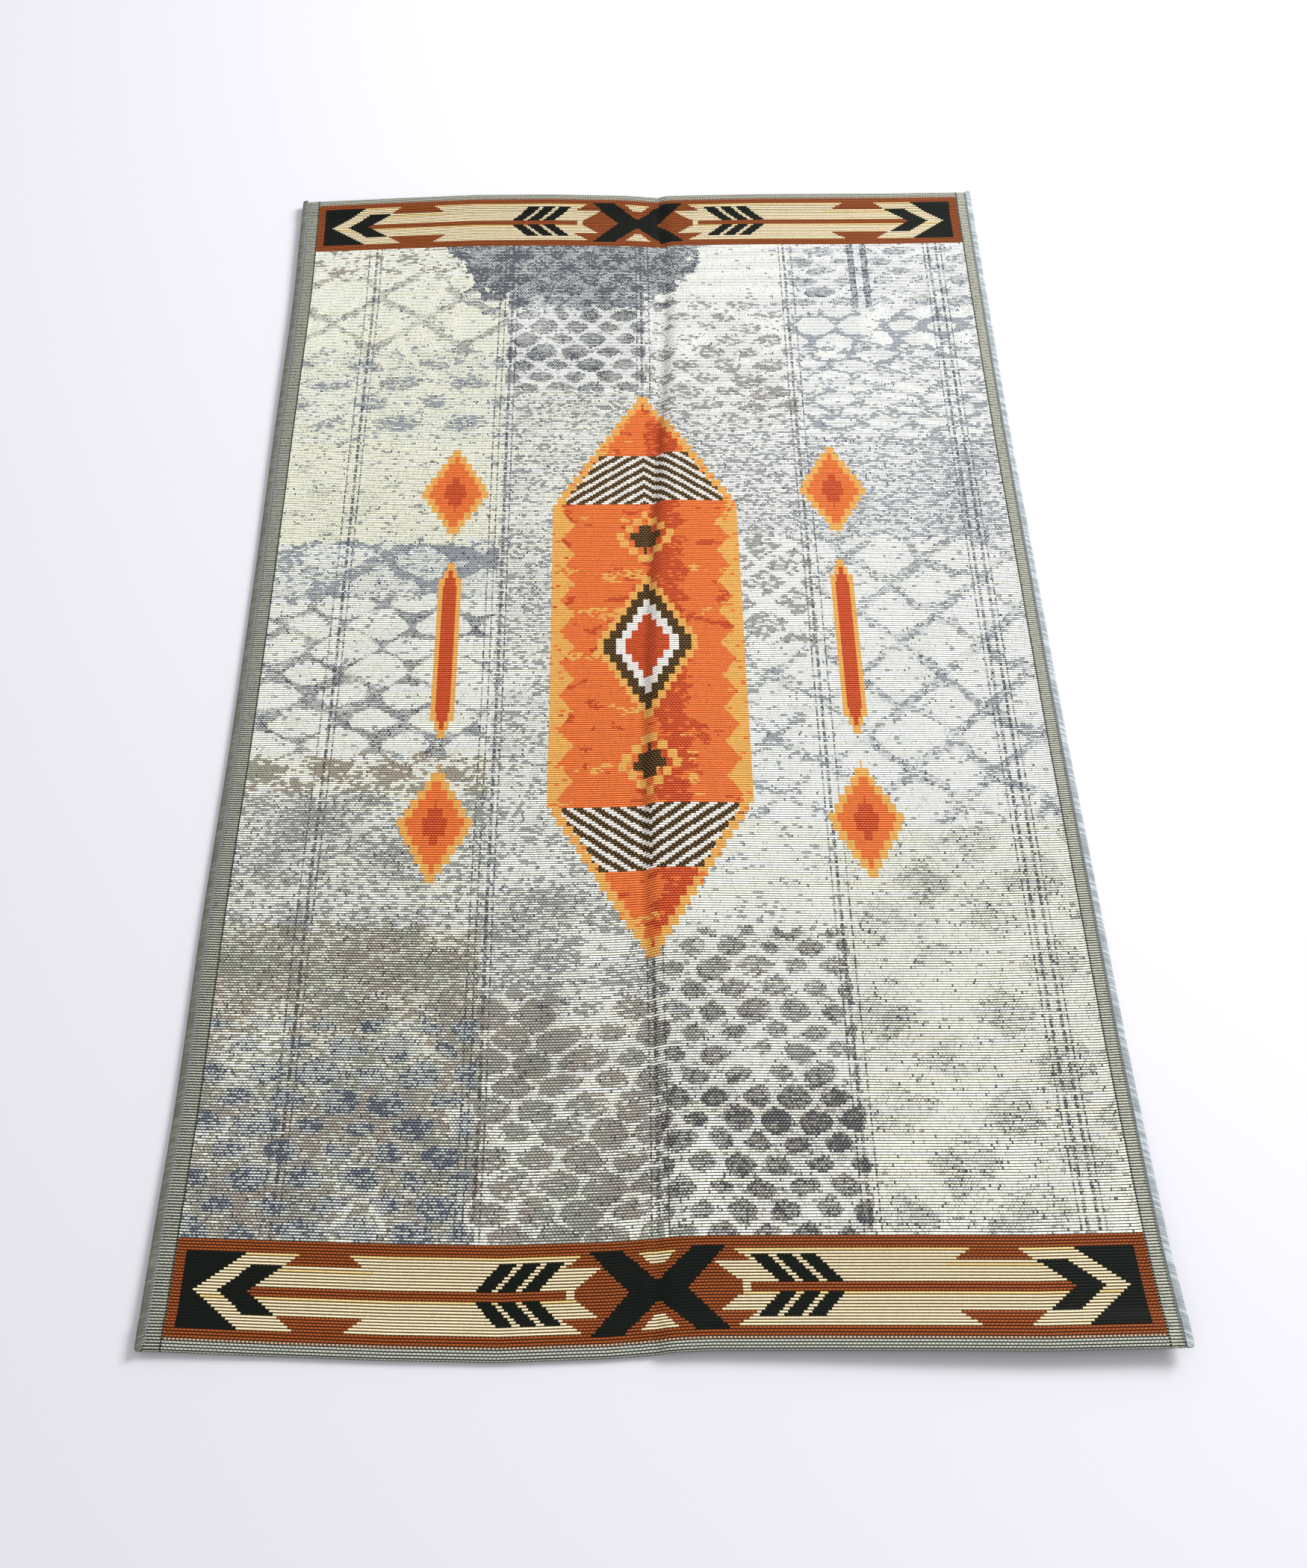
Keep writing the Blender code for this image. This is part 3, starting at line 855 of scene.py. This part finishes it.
def patchwork(nodes, weave, colours):
    """The worn patchwork ground: light ribs that darken where a figure shows."""
    ragged = nodes.noise(weave.x, weave.y * 1.4, *RAGGED_NOISE)
    wear = nodes.noise(weave.x + 3.0, weave.y, *WEAR_NOISE)
    streak = nodes.noise(weave.x, weave.y * 70.0, *STREAK_NOISE)
    block = block_values(nodes, weave, ragged)
    inside = figure_mask(nodes, weave, block, ragged, wear)
    fade = ((wear - 0.5) * 2.2 + 1).most(0.25)
    dark = nodes.mix(inside, block["dark_out"], block["dark_in"]) * fade
    mid = nodes.mix(inside, block["mid_out"] * fade, block["mid_in"] * (fade * 0.4 + 0.6))
    beside_patch = (abs(weave.x - PATCH_AT) - PATCH_HALF).most(0.0)
    patch = weave.y > beside_patch * PATCH_SLOPE + (ragged - 0.5) * PATCH_RAGGED + PATCH_START
    dark = nodes.mix(patch, dark, inside * 0.60 + 0.90) + seam_stitches(weave) * 0.90
    mid = nodes.mix(patch, mid, 0.24)
    gather = nodes.noise(weave.x + 7.0, weave.y, *GATHER_NOISE)
    # Wear makes single stitches and short runs of them dark, more where they gather
    fleck = weave.run_chance * 0.6 + weave.chance * 0.4 + (gather - 0.5) * 0.9
    deep = (dark * (fleck * fleck * 1.6 + 0.40)).least(1.2)
    is_mid = weave.run_chance < mid

    # Figures that stand on a ground of middle yarn are cool
    cool_figure = inside & (block["mid_out"] > MID_GROUND)
    warm = nodes.mix(patch, block["warm"], 0.25) * (1 - cool_figure * 0.9)
    cream = block["cream"] * (1 - patch) + (streak - 0.5) * 1.4
    hue = (nodes.noise(weave.x + 11.0, weave.y, *HUE_NOISE) - 0.42) * 6
    mid_shade = nodes.blend(warm, colours.slate, nodes.blend(hue, colours.taupe, colours.olive))
    light_shade = nodes.blend(cream, colours.white, colours.pale)
    dark_shade = nodes.blend(warm, colours.ink, colours.umber)
    shaded_light_groove = nodes.blend(warm, colours.groove_cool, colours.groove_warm)
    # Where it is deep, the light yarn turns greyer and its grooves grow dark and wide. Its dash
    # greys less than its ridge, as a painted highlight, and its groove's own colour is painted
    # shade.
    light = Yarn(
        nodes.blend(deep * 0.22, light_shade, mid_shade),
        nodes.blend(deep * 0.06, light_shade, mid_shade),
        nodes.blend(deep * 2.2, shaded_light_groove, dark_shade),
        (deep * 0.46 + 0.32).least(0.66),
        dark * 1.3 + 0.10,
    )
    middle = Yarn(
        mid_shade,
        # Painted highlight: the middle yarn's dash is mixed toward the light yarn.
        nodes.blend(0.28, mid_shade, light_shade),
        nodes.blend(0.88, mid_shade, dark_shade),
        deep * 0.3 + 0.40,
        dark + 0.4,
    )
    yarn = lay_yarn(nodes, is_mid, light, middle)
    darkest = Yarn(
        nodes.blend(0.08, dark_shade, colours.white),
        nodes.blend(0.26, dark_shade, colours.white),
        dark_shade,
        0.50,
        0.5,
    )
    is_dark = (deep > 1.1) | (weave.third_chance < dark * 0.08)
    return lay_yarn(nodes, is_dark, yarn, darkest)


def seam_stitches(weave):
    """Dashed double lines where the patchwork's strips meet."""
    nearest = None
    for seam in SEAMS:
        distance = abs(weave.x - seam)
        nearest = distance if nearest is None else nearest.least(distance)
    lines = ((nearest / SEAM_PITCH + 0.5) % 1.0) < SEAM_LINE
    seams = lines & (nearest < SEAM_REACH) & ((weave.row % DASH_PITCH) < DASH_RIBS)
    from_stripe = abs(abs(weave.x - STRIPES_AT) - STRIPE_OFFSET)
    return seams | ((from_stripe < STRIPE_HALF) & (weave.y > STRIPE_START))


def arrow_border(nodes, weave, colours):
    """The two arrow strips and their frame, and where they are.

    Numbers beside across are stitches from the strip's middle, and those beside
    ribs, depth and upwards are ribs from its middle rib, inwards and upwards.
    """
    outwards = weave.from_middle - (STRIP_RIB + 0.5)
    ribs = abs(outwards)
    across = abs(weave.from_centre) * STRIP_HALF / weave.strip_half
    depth = 12 - ribs
    upwards = nodes.mix(weave.row > 0, weave.row + (STRIP_RIB + 1), weave.row - STRIP_RIB)
    above = upwards > 0
    outer = ribs > above + 7.5
    inner = 1 - outer
    block = across > depth + 104.7
    head_inner = (depth - 5) * 1.04 + 96.0
    head = inner & across.between(head_inner, depth + 98.9)
    wedge = outer & across.between(78.2 - depth * 1.1, depth + 90.9)
    barb = across + ribs * 0.75 - (weave.row > 0) * 2 - 31.2
    barbs = barb.between(0, 16.3) & ((barb % 6.0) < 4.3) & (ribs > 1.5) & (ribs < above + 9.5)
    flare = outer & (across < depth * 1.1 + 19.6)
    lozenge = inner & (across < (depth - 5) * 1.05 + 15.5) & (across < 20.9)
    shaft = (ribs < 1.5) & across.between(23, head_inner)
    tip = outer & (across < 4.4 - depth * 0.75)
    cross = across.between((ribs - 3) * 0.87, ribs * 0.75 + 7.3) & (ribs < 13.5)
    frame_band = (ribs > PATTERN_RIBS) | (across > STRIP_HALF - FRAME_STITCHES)

    first_rib = upwards.between(11.5, 12.5) | upwards.between(-2.5, -1.5)
    first_rib = first_rib | upwards.between(6.5, 7.5) & across.between(72.0, 98.0)

    # The rust and cream grooves are painted shade between the ribs, and the black yarn's groove is a
    # still darker painted shade.
    rust = Yarn(colours.rust, colours.rust_light, colours.rust_dark, 0.42, 0.0)
    cream = Yarn(
        nodes.blend(first_rib, colours.straw, colours.golden),
        nodes.blend(first_rib, colours.cream, colours.straw),
        colours.cream_groove,
        0.50,
        0.0,
    )
    black = Yarn(colours.black, colours.black, (0.003, 0.004, 0.003), 0.34, 0.0)

    is_rust = (wedge | flare | lozenge | shaft) & (1 - tip)
    is_black = block | head | barbs
    is_rust = is_rust & (1 - is_black) | frame_band
    is_black = is_black & (1 - frame_band) | cross
    yarn = lay_yarn(nodes, is_rust, cream, rust)
    yarn = lay_yarn(nodes, is_black, yarn, black)
    return yarn, outwards.between(-FRAME_RIBS_IN, FRAME_RIBS_OUT)


def medallion(nodes, weave, colours):
    """A tall stepped medallion with chevron bands, and small stepped figures beside it."""
    step = STEP_RIBS * weave.rib
    up = abs(weave.y)
    along = ((up / step).floor() + 0.5) * step
    across = abs(weave.x)

    hexagon = across + (along - TAPER_START).most(0.0) * TAPER
    body = hexagon < BODY_HALF
    teeth = abs((up / TOOTH_PITCH) % 1.0 - 0.5) * TOOTH_DEPTH
    rim = hexagon > RIM_AT - teeth * (up < TEETH_END)
    chevron_at = (up + across * CHEVRON_SLANT) / (weave.rib * CHEVRON_RIBS)
    chevrons = up.between(*CHEVRON_BAND) & (hexagon < RIM_AT)
    centre = across / CENTRE_SIZE[0] + along / CENTRE_SIZE[1]
    small = across / SMALL_SIZE[0] + abs(along - SMALL_AT) / SMALL_SIZE[1]
    side = abs(across - SIDE_AT) / SIDE_SIZE[0] + abs(along - SIDE_AT) / SIDE_SIZE[1]
    bar = abs(across - SIDE_AT) + (along - BAR_LENGTH).most(0.0) * 0.4
    beside = (side < 0.94) | (bar < 0.018)

    mottle = nodes.noise(weave.x * 0.5, weave.y, *MOTTLE_NOISE)
    fleck = nodes.noise(weave.x * 0.7 + 5.0, weave.y * 1.6, *FLECK_NOISE)
    ragged = nodes.noise(weave.x, weave.y * 3.0 + 9.0, *CORE_NOISE)
    core = abs(weave.x - 0.030) + (ragged - 0.5) * 0.07 < 0.026
    shade = nodes.paint(
        nodes.blend(mottle > 0.64, colours.orange, colours.red),
        ((fleck > 0.64) & (weave.run_chance > 0.4), colours.apricot),
        (core & (weave.run_chance > 0.12), colours.red),
        ((small < 0.94) & (small > 0.68), colours.apricot),
        (small < 0.5, colours.black),
        (centre < 0.97, colours.apricot),
        (centre < 0.84, colours.black),
        (centre < 0.62, colours.white),
        (centre < 0.44, colours.red),
        (rim & (weave.run_chance > 0.06), colours.apricot),
    )
    side_shade = nodes.paint(
        nodes.blend(side < 0.74, colours.apricot, colours.orange),
        (side < 0.36, colours.red),
        ((bar < 0.010) & (side > 0.94), colours.red),
    )
    stripe = nodes.blend((chevron_at % 1.0) < CHEVRON_DARK, colours.white, colours.black)
    shade = nodes.paint(shade, (beside, side_shade), (chevrons, stripe))
    # Painted highlight: each stitch's dash is the medallion's colour mixed toward apricot.
    dash = nodes.blend(0.34, shade, colours.apricot)
    # Painted shade: the groove is the medallion's colour darkened to a quarter.
    return Yarn(shade, dash, nodes.scale(shade, 0.24), 0.42, 0.06), body | beside


def edge_bands(nodes, weave, colours):
    """The grey bands outside the pattern, and the fold's brown edge at both ends."""
    beyond = abs(weave.from_centre) - weave.strip_half
    side = beyond > 0
    ribs = weave.from_middle - (STRIP_RIB + 0.5 + FRAME_RIBS_OUT)
    end = ribs > 0
    first = ribs.between(0, 1.0) & (1 - side) & (weave.in_stitch < 0.5)
    hem = ribs > 4.9
    line = beyond.between(0.0, 0.5) & (weave.in_rib < 0.6)
    shade = nodes.paint(
        nodes.blend(first, colours.edge_light, colours.rust_light),
        (side, colours.selvage),
        (line, colours.edge_dark),
        (hem, colours.hem),
    )
    groove = nodes.blend(hem, colours.edge_dark, colours.rust_dark)
    # Painted shade: the left selvage's dark grooves are wider than the right's, so that it looks
    # darker, as the light falls from the right.
    share = nodes.mix(side, 0.46, nodes.mix(weave.from_centre > 0, 0.66, 0.48))
    return Yarn(shade, shade, groove, share, nodes.mix(side, 1.0, 0.12)), side | end


def woven_material(scene):
    """The cloth's material: every stitch coloured by its place in the weave."""
    cloth, colours = scene.rug_cloth, scene.rug_colours
    nodes = MaterialNodes("woven_yarn")
    weave = Weave(nodes, cloth)
    yarn = patchwork(nodes, weave, colours)
    for layer in (medallion, arrow_border, edge_bands):
        over, where = layer(nodes, weave, colours)
        yarn = lay_yarn(nodes, where, yarn, over)

    from_ridge = abs(weave.in_rib - 0.5) * 2
    from_stitch = abs(weave.in_stitch - 0.5) * 2
    dash = (from_stitch < DASH_ACROSS) & (from_ridge < DASH_ALONG)
    groove = from_ridge > 1 - yarn.share
    bridge = groove & (from_stitch > BRIDGE_FROM)
    tick = (from_stitch > TICK_FROM) & (weave.second_chance < yarn.tick)
    # The dash is a painted highlight on the top of each stitch, where its colour is lighter than the
    # ridge's.
    shade = nodes.blend(dash, yarn.ridge, yarn.dash)
    sunk = (groove - bridge * BRIDGE_RISE) | tick * TICK_DEPTH
    # Grooves take the groove colour, which is painted shade where it is darker than the yarn, and so
    # do the ticks that part two stitches.
    shade = nodes.blend(sunk, shade, yarn.groove)
    back = nodes.add("ShaderNodeAttribute", {"attribute_name": "back_face"}, (), 2)
    shade = nodes.blend(back * BACK_DULLING, shade, colours.umber)
    lightness = (weave.third_chance - 0.5) * STITCH_VARY + 1
    nodes.link("Base Color", nodes.scale(shade, lightness))
    nodes.bump((1 - from_stitch * from_stitch) + (1 - from_ridge * from_ridge), 0.0003)
    nodes.link("Roughness", sunk * 0.2 + weave.third_chance * 0.1 + 0.42)
    nodes.set_uniform(Specular_IOR_Level=0.10)
    return nodes.material


def sheet_columns(lay, y):
    """Places across the sheet for each row: crowded at the crease and at both long edges."""
    crease = read_rows(CREASE_ROWS, "across", y)
    left = [-lay.cloth_half + distance + 0 * crease for distance in EDGE_COLUMNS]
    right = [lay.cloth_half - distance + 0 * crease for distance in reversed(EDGE_COLUMNS)]
    middle = [crease + distance for distance in CREASE_COLUMNS]
    columns = list(left)
    for start, end, after in ((left[-1], middle[0], middle), (middle[-1], right[0], right)):
        columns += [start + (end - start) * k / WIDE_SPANS for k in range(1, WIDE_SPANS)]
        columns += after
    return np.stack(columns, axis=1)


class RUG_OT_weave_cloth(bpy.types.Operator):
    """Model the woven sheet with its ribs, folds and turned hems"""

    bl_idname = "rug.weave_cloth"
    bl_label = "Weave the cloth"

    def execute(self, context):
        scene = context.scene
        cloth = scene.rug_cloth
        lay = lay_of(scene)
        row_step = cloth.rib / ROWS_PER_RIB
        half_rows = int(lay.sheet_length() / row_step)
        along_rows = np.arange(-half_rows, half_rows + 1) * row_step
        across_rows = sheet_columns(lay, np.clip(along_rows, -lay.half_length, lay.half_length))
        size = (across_rows.shape[1], len(along_rows))
        piece = add_grid("woven_sheet", *size)
        column, row = grid_places(piece, *size)
        beside = (column == 0) | (column == size[0] - 1)
        under = np.abs(along_rows[row]) > lay.fold_start + 1e-6
        self.cut_hem_corners(piece, beside & under)

        column, row = grid_places(piece, *size)
        x, along = across_rows[row, column], along_rows[row]
        relief = cloth.rib_depth * (ridge_height(row - half_rows, ROWS_PER_RIB) - 1)
        pick(piece)
        solidify = piece.modifiers.new("thickness", "SOLIDIFY")
        solidify.thickness = cloth.thickness
        solidify.offset = -1.0
        bpy.ops.object.modifier_apply(modifier=solidify.name)
        outer = lay.sheet_point(x, along, relief)
        inner = lay.sheet_point(x, along, -lay.thickness - relief)
        if len(piece.data.vertices) != 2 * len(outer):
            raise RuntimeError("the sheet's two faces no longer match")
        move_points(piece, np.concatenate([outer, inner]))
        write_uv(piece, "flat_cloth", np.tile(np.stack([x, along], axis=1), (2, 1)))
        write_value(piece, "back_face", np.repeat([0.0, 1.0], len(outer)))
        finish_piece(piece, woven_material(scene), ["rug_cloth"], 75)
        flat = (2 * lay.cloth_half, 2 * lay.sheet_length())
        return {"FINISHED"}

    def cut_hem_corners(self, piece, corners):
        """Cuts the turned layer back at the corners, where the bindings hold it."""
        pick(piece)
        bpy.ops.object.mode_set(mode="EDIT")
        bpy.ops.mesh.select_mode(type="VERT")
        bpy.ops.mesh.select_all(action="DESELECT")
        bpy.ops.object.mode_set(mode="OBJECT")
        piece.data.vertices.foreach_set("select", corners)
        bpy.ops.object.mode_set(mode="EDIT")
        bpy.ops.mesh.delete(type="VERT")
        bpy.ops.object.mode_set(mode="OBJECT")


def binding_section(lay, binding):
    """The binding's outline across the rug's edge, as (outwards, up) from the cloth's edge."""
    radius = lay.binding_radius
    angles = np.linspace(math.pi / 2, -math.pi / 2, BINDING_ARC_STEPS + 1)
    outline = [(-binding.lip, radius), (-binding.lip / 2, radius)]
    outline += [(radius * math.cos(angle), radius * math.sin(angle)) for angle in angles]
    outline += [(-binding.lip / 2, -radius), (-binding.lip, -radius)]
    outline += [(-binding.lip, -lay.slot_half), (FIT_GAP, -lay.slot_half)]
    outline += [(FIT_GAP, lay.slot_half), (-binding.lip, lay.slot_half)]
    return np.array(outline)


def thread_material(scene):
    """Close wound thread: fine bands across the edge, greyer in the gaps as painted shade, and
    painted lighter on the right binding and darker on the left as lit and shaded sides.
    """
    colours, binding = scene.rug_colours, scene.rug_binding
    nodes = MaterialNodes("overlock_thread")
    uv = nodes.add("ShaderNodeUVMap", {"uv_map": "along_edge"})
    around, along, unused = uv.parts()
    place = along / binding.thread + around * THREAD_SLANT
    turn = place.floor()
    in_turn = place - turn
    chance = nodes.chance("1D", turn)
    strands = abs(((in_turn * STRANDS) % 1.0) - 0.5) * 2
    gap = abs(in_turn - 0.5) * 2 > GAP_FROM
    worn = nodes.noise(around * 0.3, along, 9.0, 3.0)
    x, y, unused = nodes.add("ShaderNodeTexCoord", None, (), 3).parts()
    # Painted light: the right binding takes the lighter thread colour and the left the darker one,
    # in place of the key light from the right.
    thread = nodes.blend(x > 0, colours.thread, colours.thread_lit_right)
    shade = nodes.blend((chance - 0.5) * 0.4 + worn * 0.4, thread, colours.thread_dark)
    # Painted shade: the gaps between threads, and the lines between a thread's strands, are
    # darkened.
    shade = nodes.blend(gap * 0.7, shade, colours.thread_dark)
    shade = nodes.blend((strands > 0.75) & (chance > 0.3), shade, colours.thread_dark)
    nodes.link("Base Color", shade)
    nodes.bump(1 - strands, 0.0002)
    nodes.link("Roughness", chance * 0.15 + 0.5)
    nodes.set_uniform(Specular_IOR_Level=0.4)
    return nodes.material


class RUG_OT_wind_bindings(bpy.types.Operator):
    """Model the overlocked binding along each long side"""

    bl_idname = "rug.wind_bindings"
    bl_label = "Wind the bindings"

    def execute(self, context):
        scene = context.scene
        lay = lay_of(scene)
        material = thread_material(scene)
        for name, side in SIDES:
            piece = self.wind(f"{name}_overlock", side, lay, scene.rug_binding)
            finish_piece(piece, material, [f"{name}_binding"], 60)
        return {"FINISHED"}

    def wind(self, name, side, lay, binding):
        """A tube wrapped round the cloth's edge, with every wound thread raised."""
        step = binding.thread / ROWS_PER_THREAD
        half = int((lay.half_length + FIT_GAP) / step)
        count = 2 * half + 1
        y_rows = np.arange(-half, half + 1) * step
        outline = binding_section(lay, binding)
        points = len(outline)
        piece = add_grid(name, points + 1, count)
        column, row = grid_places(piece, points + 1, count)
        y = y_rows[row]
        section = outline[column % points]
        from_tip = lay.half_length + FIT_GAP - np.abs(y)
        closing = np.clip(from_tip / lay.binding_radius, 0.0, 1.0)
        rounding = np.sqrt(np.maximum(1 - (1 - closing) ** 2, 0.0))
        scale = rounding * END_NARROWING + (1 - END_NARROWING)
        shown = np.abs(section[:, 1]) > lay.slot_half + FIT_GAP / 2
        shown |= section[:, 0] > FIT_GAP
        ridge = ridge_height(row - half, ROWS_PER_THREAD)
        relief = np.where(shown, binding.thread_depth * (ridge - 1), 0.0)
        spread = np.hypot(section[:, 0].clip(0.0), section[:, 1])
        factor = scale * (1 + relief / np.maximum(spread, 1e-4))
        middle = -binding.lip / 2
        out = np.where(section[:, 0] > 0, section[:, 0] * factor, section[:, 0])
        out = middle + (out - middle) * scale
        up = section[:, 1] * factor
        x = np.full(len(y), side * lay.cloth_half)
        height = lay.underside_raise(x, y) + lay.thickness / 2
        centre = lay.down(x, y, height)
        move_points(piece, centre + np.stack([side * out, 0 * out, up], axis=1))
        around = column * (2 * math.pi * lay.binding_radius / points) / binding.thread
        write_uv(piece, "along_edge", np.stack([around, y], axis=1))
        self.close(piece)
        return piece

    def close(self, piece):
        """Joins the grid's long edges into a tube and caps its ends."""
        pick(piece)
        bpy.ops.object.mode_set(mode="EDIT")
        bpy.ops.mesh.select_all(action="SELECT")
        bpy.ops.mesh.remove_doubles(threshold=0.00001)
        bpy.ops.mesh.select_all(action="DESELECT")
        bpy.ops.mesh.select_non_manifold()
        bpy.ops.mesh.fill_holes(sides=0)
        bpy.ops.mesh.select_all(action="SELECT")
        bpy.ops.mesh.normals_make_consistent(inside=False)
        bpy.ops.object.mode_set(mode="OBJECT")


class RUG_OT_loop_stitches(bpy.types.Operator):
    """Model the looped white thread along each binding's inner edge"""

    bl_idname = "rug.loop_stitches"
    bl_label = "Loop the edge stitches"

    def execute(self, context):
        scene = context.scene
        lay = lay_of(scene)
        material = self.material(scene)
        for name, side in SIDES:
            piece = self.loops(f"{name}_loops", side, lay, scene.rug_binding)
            finish_piece(piece, material, [], 80)
        return {"FINISHED"}

    def material(self, scene):
        nodes = MaterialNodes("loop_thread")
        x, y, unused = nodes.add("ShaderNodeTexCoord", None, (), 3).parts()
        chance = nodes.noise(x, y, 700.0, 1.0)
        # Noise mixes the loops toward the left thread's colour, which holds painted shade.
        shade = nodes.blend(chance * 0.5, scene.rug_colours.loop, scene.rug_colours.thread)
        nodes.link("Base Color", shade)
        nodes.set_uniform(Roughness=0.5)
        return nodes.material

    def loops(self, name, side, lay, binding):
        """A zigzag thread that rises onto the binding and dips to the cloth."""
        count = int((2 * lay.half_length - LOOP_END_GAP) / binding.loop)
        k = np.arange(2 * count + 1)
        y = (k - count) * binding.loop / 2
        inward = np.where(k % 2 == 0, 0.0, 1.0)
        out = -binding.lip + LOOP_TUCK - inward * binding.loop_reach
        x = side * (lay.cloth_half + out)
        on_cloth = lay.underside_raise(x, y) + lay.thickness + binding.loop_thread * 0.35
        on_binding = lay.underside_raise(x, y) + lay.thickness / 2 + lay.binding_radius
        height = np.where(inward > 0.5, on_cloth, on_binding)
        edge = np.full(len(y), side * lay.cloth_half)
        centre = lay.down(edge, y, height)
        route = centre + np.stack([x - edge, 0 * y, 0 * y], axis=1)
        curve = bpy.data.curves.new(name, "CURVE")
        curve.dimensions = "3D"
        curve.bevel_depth = binding.loop_thread / 2
        curve.bevel_resolution = 1
        curve.use_fill_caps = True
        spline = curve.splines.new("POLY")
        spline.points.add(len(route) - 1)
        spline.points.foreach_set("co", np.c_[route, np.ones(len(route))].ravel())
        piece = bpy.data.objects.new(name, curve)
        bpy.context.scene.collection.objects.link(piece)
        pick(piece)
        bpy.ops.object.convert(target="MESH")
        return bpy.context.object


class RUG_OT_light_stage(bpy.types.Operator):
    """Lay the pale floor, hang the soft lights and stand the camera"""

    bl_idname = "rug.light_stage"
    bl_label = "Light the stage"

    def execute(self, context):
        scene = context.scene
        settings = scene.rug_stage
        self.floor(settings)
        self.sky(scene, settings)
        self.area_light("key_light", KEY_PLACE, KEY_TARGET, settings.key)
        self.area_light("far_light", FAR_PLACE, FAR_TARGET, settings.sheen)
        self.camera(scene)
        scene.view_settings.view_transform = "Standard"
        return {"FINISHED"}

    def floor(self, settings):
        deselect()
        bpy.ops.mesh.primitive_plane_add(size=FLOOR_SIZE, location=(0.0, 0.0, -FLOOR_DROP))
        floor = bpy.context.object
        floor.name = "floor"
        nodes = MaterialNodes("floor_paint")
        nodes.set_uniform(Base_Color=(*settings.floor, 1.0), Roughness=0.75, Specular_IOR_Level=0.2)
        floor.data.materials.append(nodes.material)

    def sky(self, scene, settings):
        world = bpy.data.worlds.new("pale_room")
        world.use_nodes = True
        background = world.node_tree.nodes["Background"]
        background.inputs["Color"].default_value = SKY_SHADE
        background.inputs["Strength"].default_value = settings.sky
        scene.world = world

    def area_light(self, name, place, target, power):
        deselect()
        bpy.ops.object.light_add(type="AREA", location=place)
        light = bpy.context.object
        light.name = name
        light.data.size = LIGHT_SIZE
        light.data.energy = power
        toward = np.array(target) - np.array(place)
        spread = math.hypot(toward[0], toward[1])
        turn = (math.atan2(spread, -toward[2]), 0.0, math.atan2(-toward[0], toward[1]))
        light.rotation_euler = turn

    def camera(self, scene):
        deselect()
        turn = [math.radians(angle) for angle in CAMERA_TURN]
        bpy.ops.object.camera_add(location=CAMERA_PLACE, rotation=turn)
        camera = bpy.context.object
        camera.name = "photo_camera"
        camera.data.sensor_fit = "VERTICAL"
        camera.data.sensor_height = CAMERA_SENSOR
        camera.data.lens = CAMERA_LENS
        camera.data.dof.use_dof = False
        scene.camera = camera


class RUG_PT_pieces(bpy.types.Panel):
    """The rug's pieces and their sizes"""

    bl_label = "Flat-woven rug"
    bl_idname = "RUG_PT_pieces"
    bl_space_type = "VIEW_3D"
    bl_region_type = "UI"
    bl_category = "Rug"

    def draw(self, context):
        for step in OPERATORS:
            self.layout.operator(step.bl_idname)
        for name in SETTINGS:
            group = getattr(context.scene, name)
            box = self.layout.box()
            for field in group.__annotations__:
                box.prop(group, field)


SETTINGS = {
    "rug_cloth": RugClothSizes,
    "rug_binding": RugBindingSizes,
    "rug_colours": RugColours,
    "rug_stage": RugStageSettings,
}
OPERATORS = (RUG_OT_weave_cloth, RUG_OT_wind_bindings, RUG_OT_loop_stitches, RUG_OT_light_stage)


def register():
    for kind in (*SETTINGS.values(), *OPERATORS, RUG_PT_pieces):
        bpy.utils.register_class(kind)
    for name, kind in SETTINGS.items():
        setattr(bpy.types.Scene, name, PointerProperty(type=kind))


def unregister():
    for name in SETTINGS:
        delattr(bpy.types.Scene, name)
    for kind in reversed((*SETTINGS.values(), *OPERATORS, RUG_PT_pieces)):
        bpy.utils.unregister_class(kind)


def main():
    register()
    bpy.ops.rug.weave_cloth()
    bpy.ops.rug.wind_bindings()
    bpy.ops.rug.loop_stitches()
    bpy.ops.rug.light_stage()


if __name__ == "__main__":
    main()
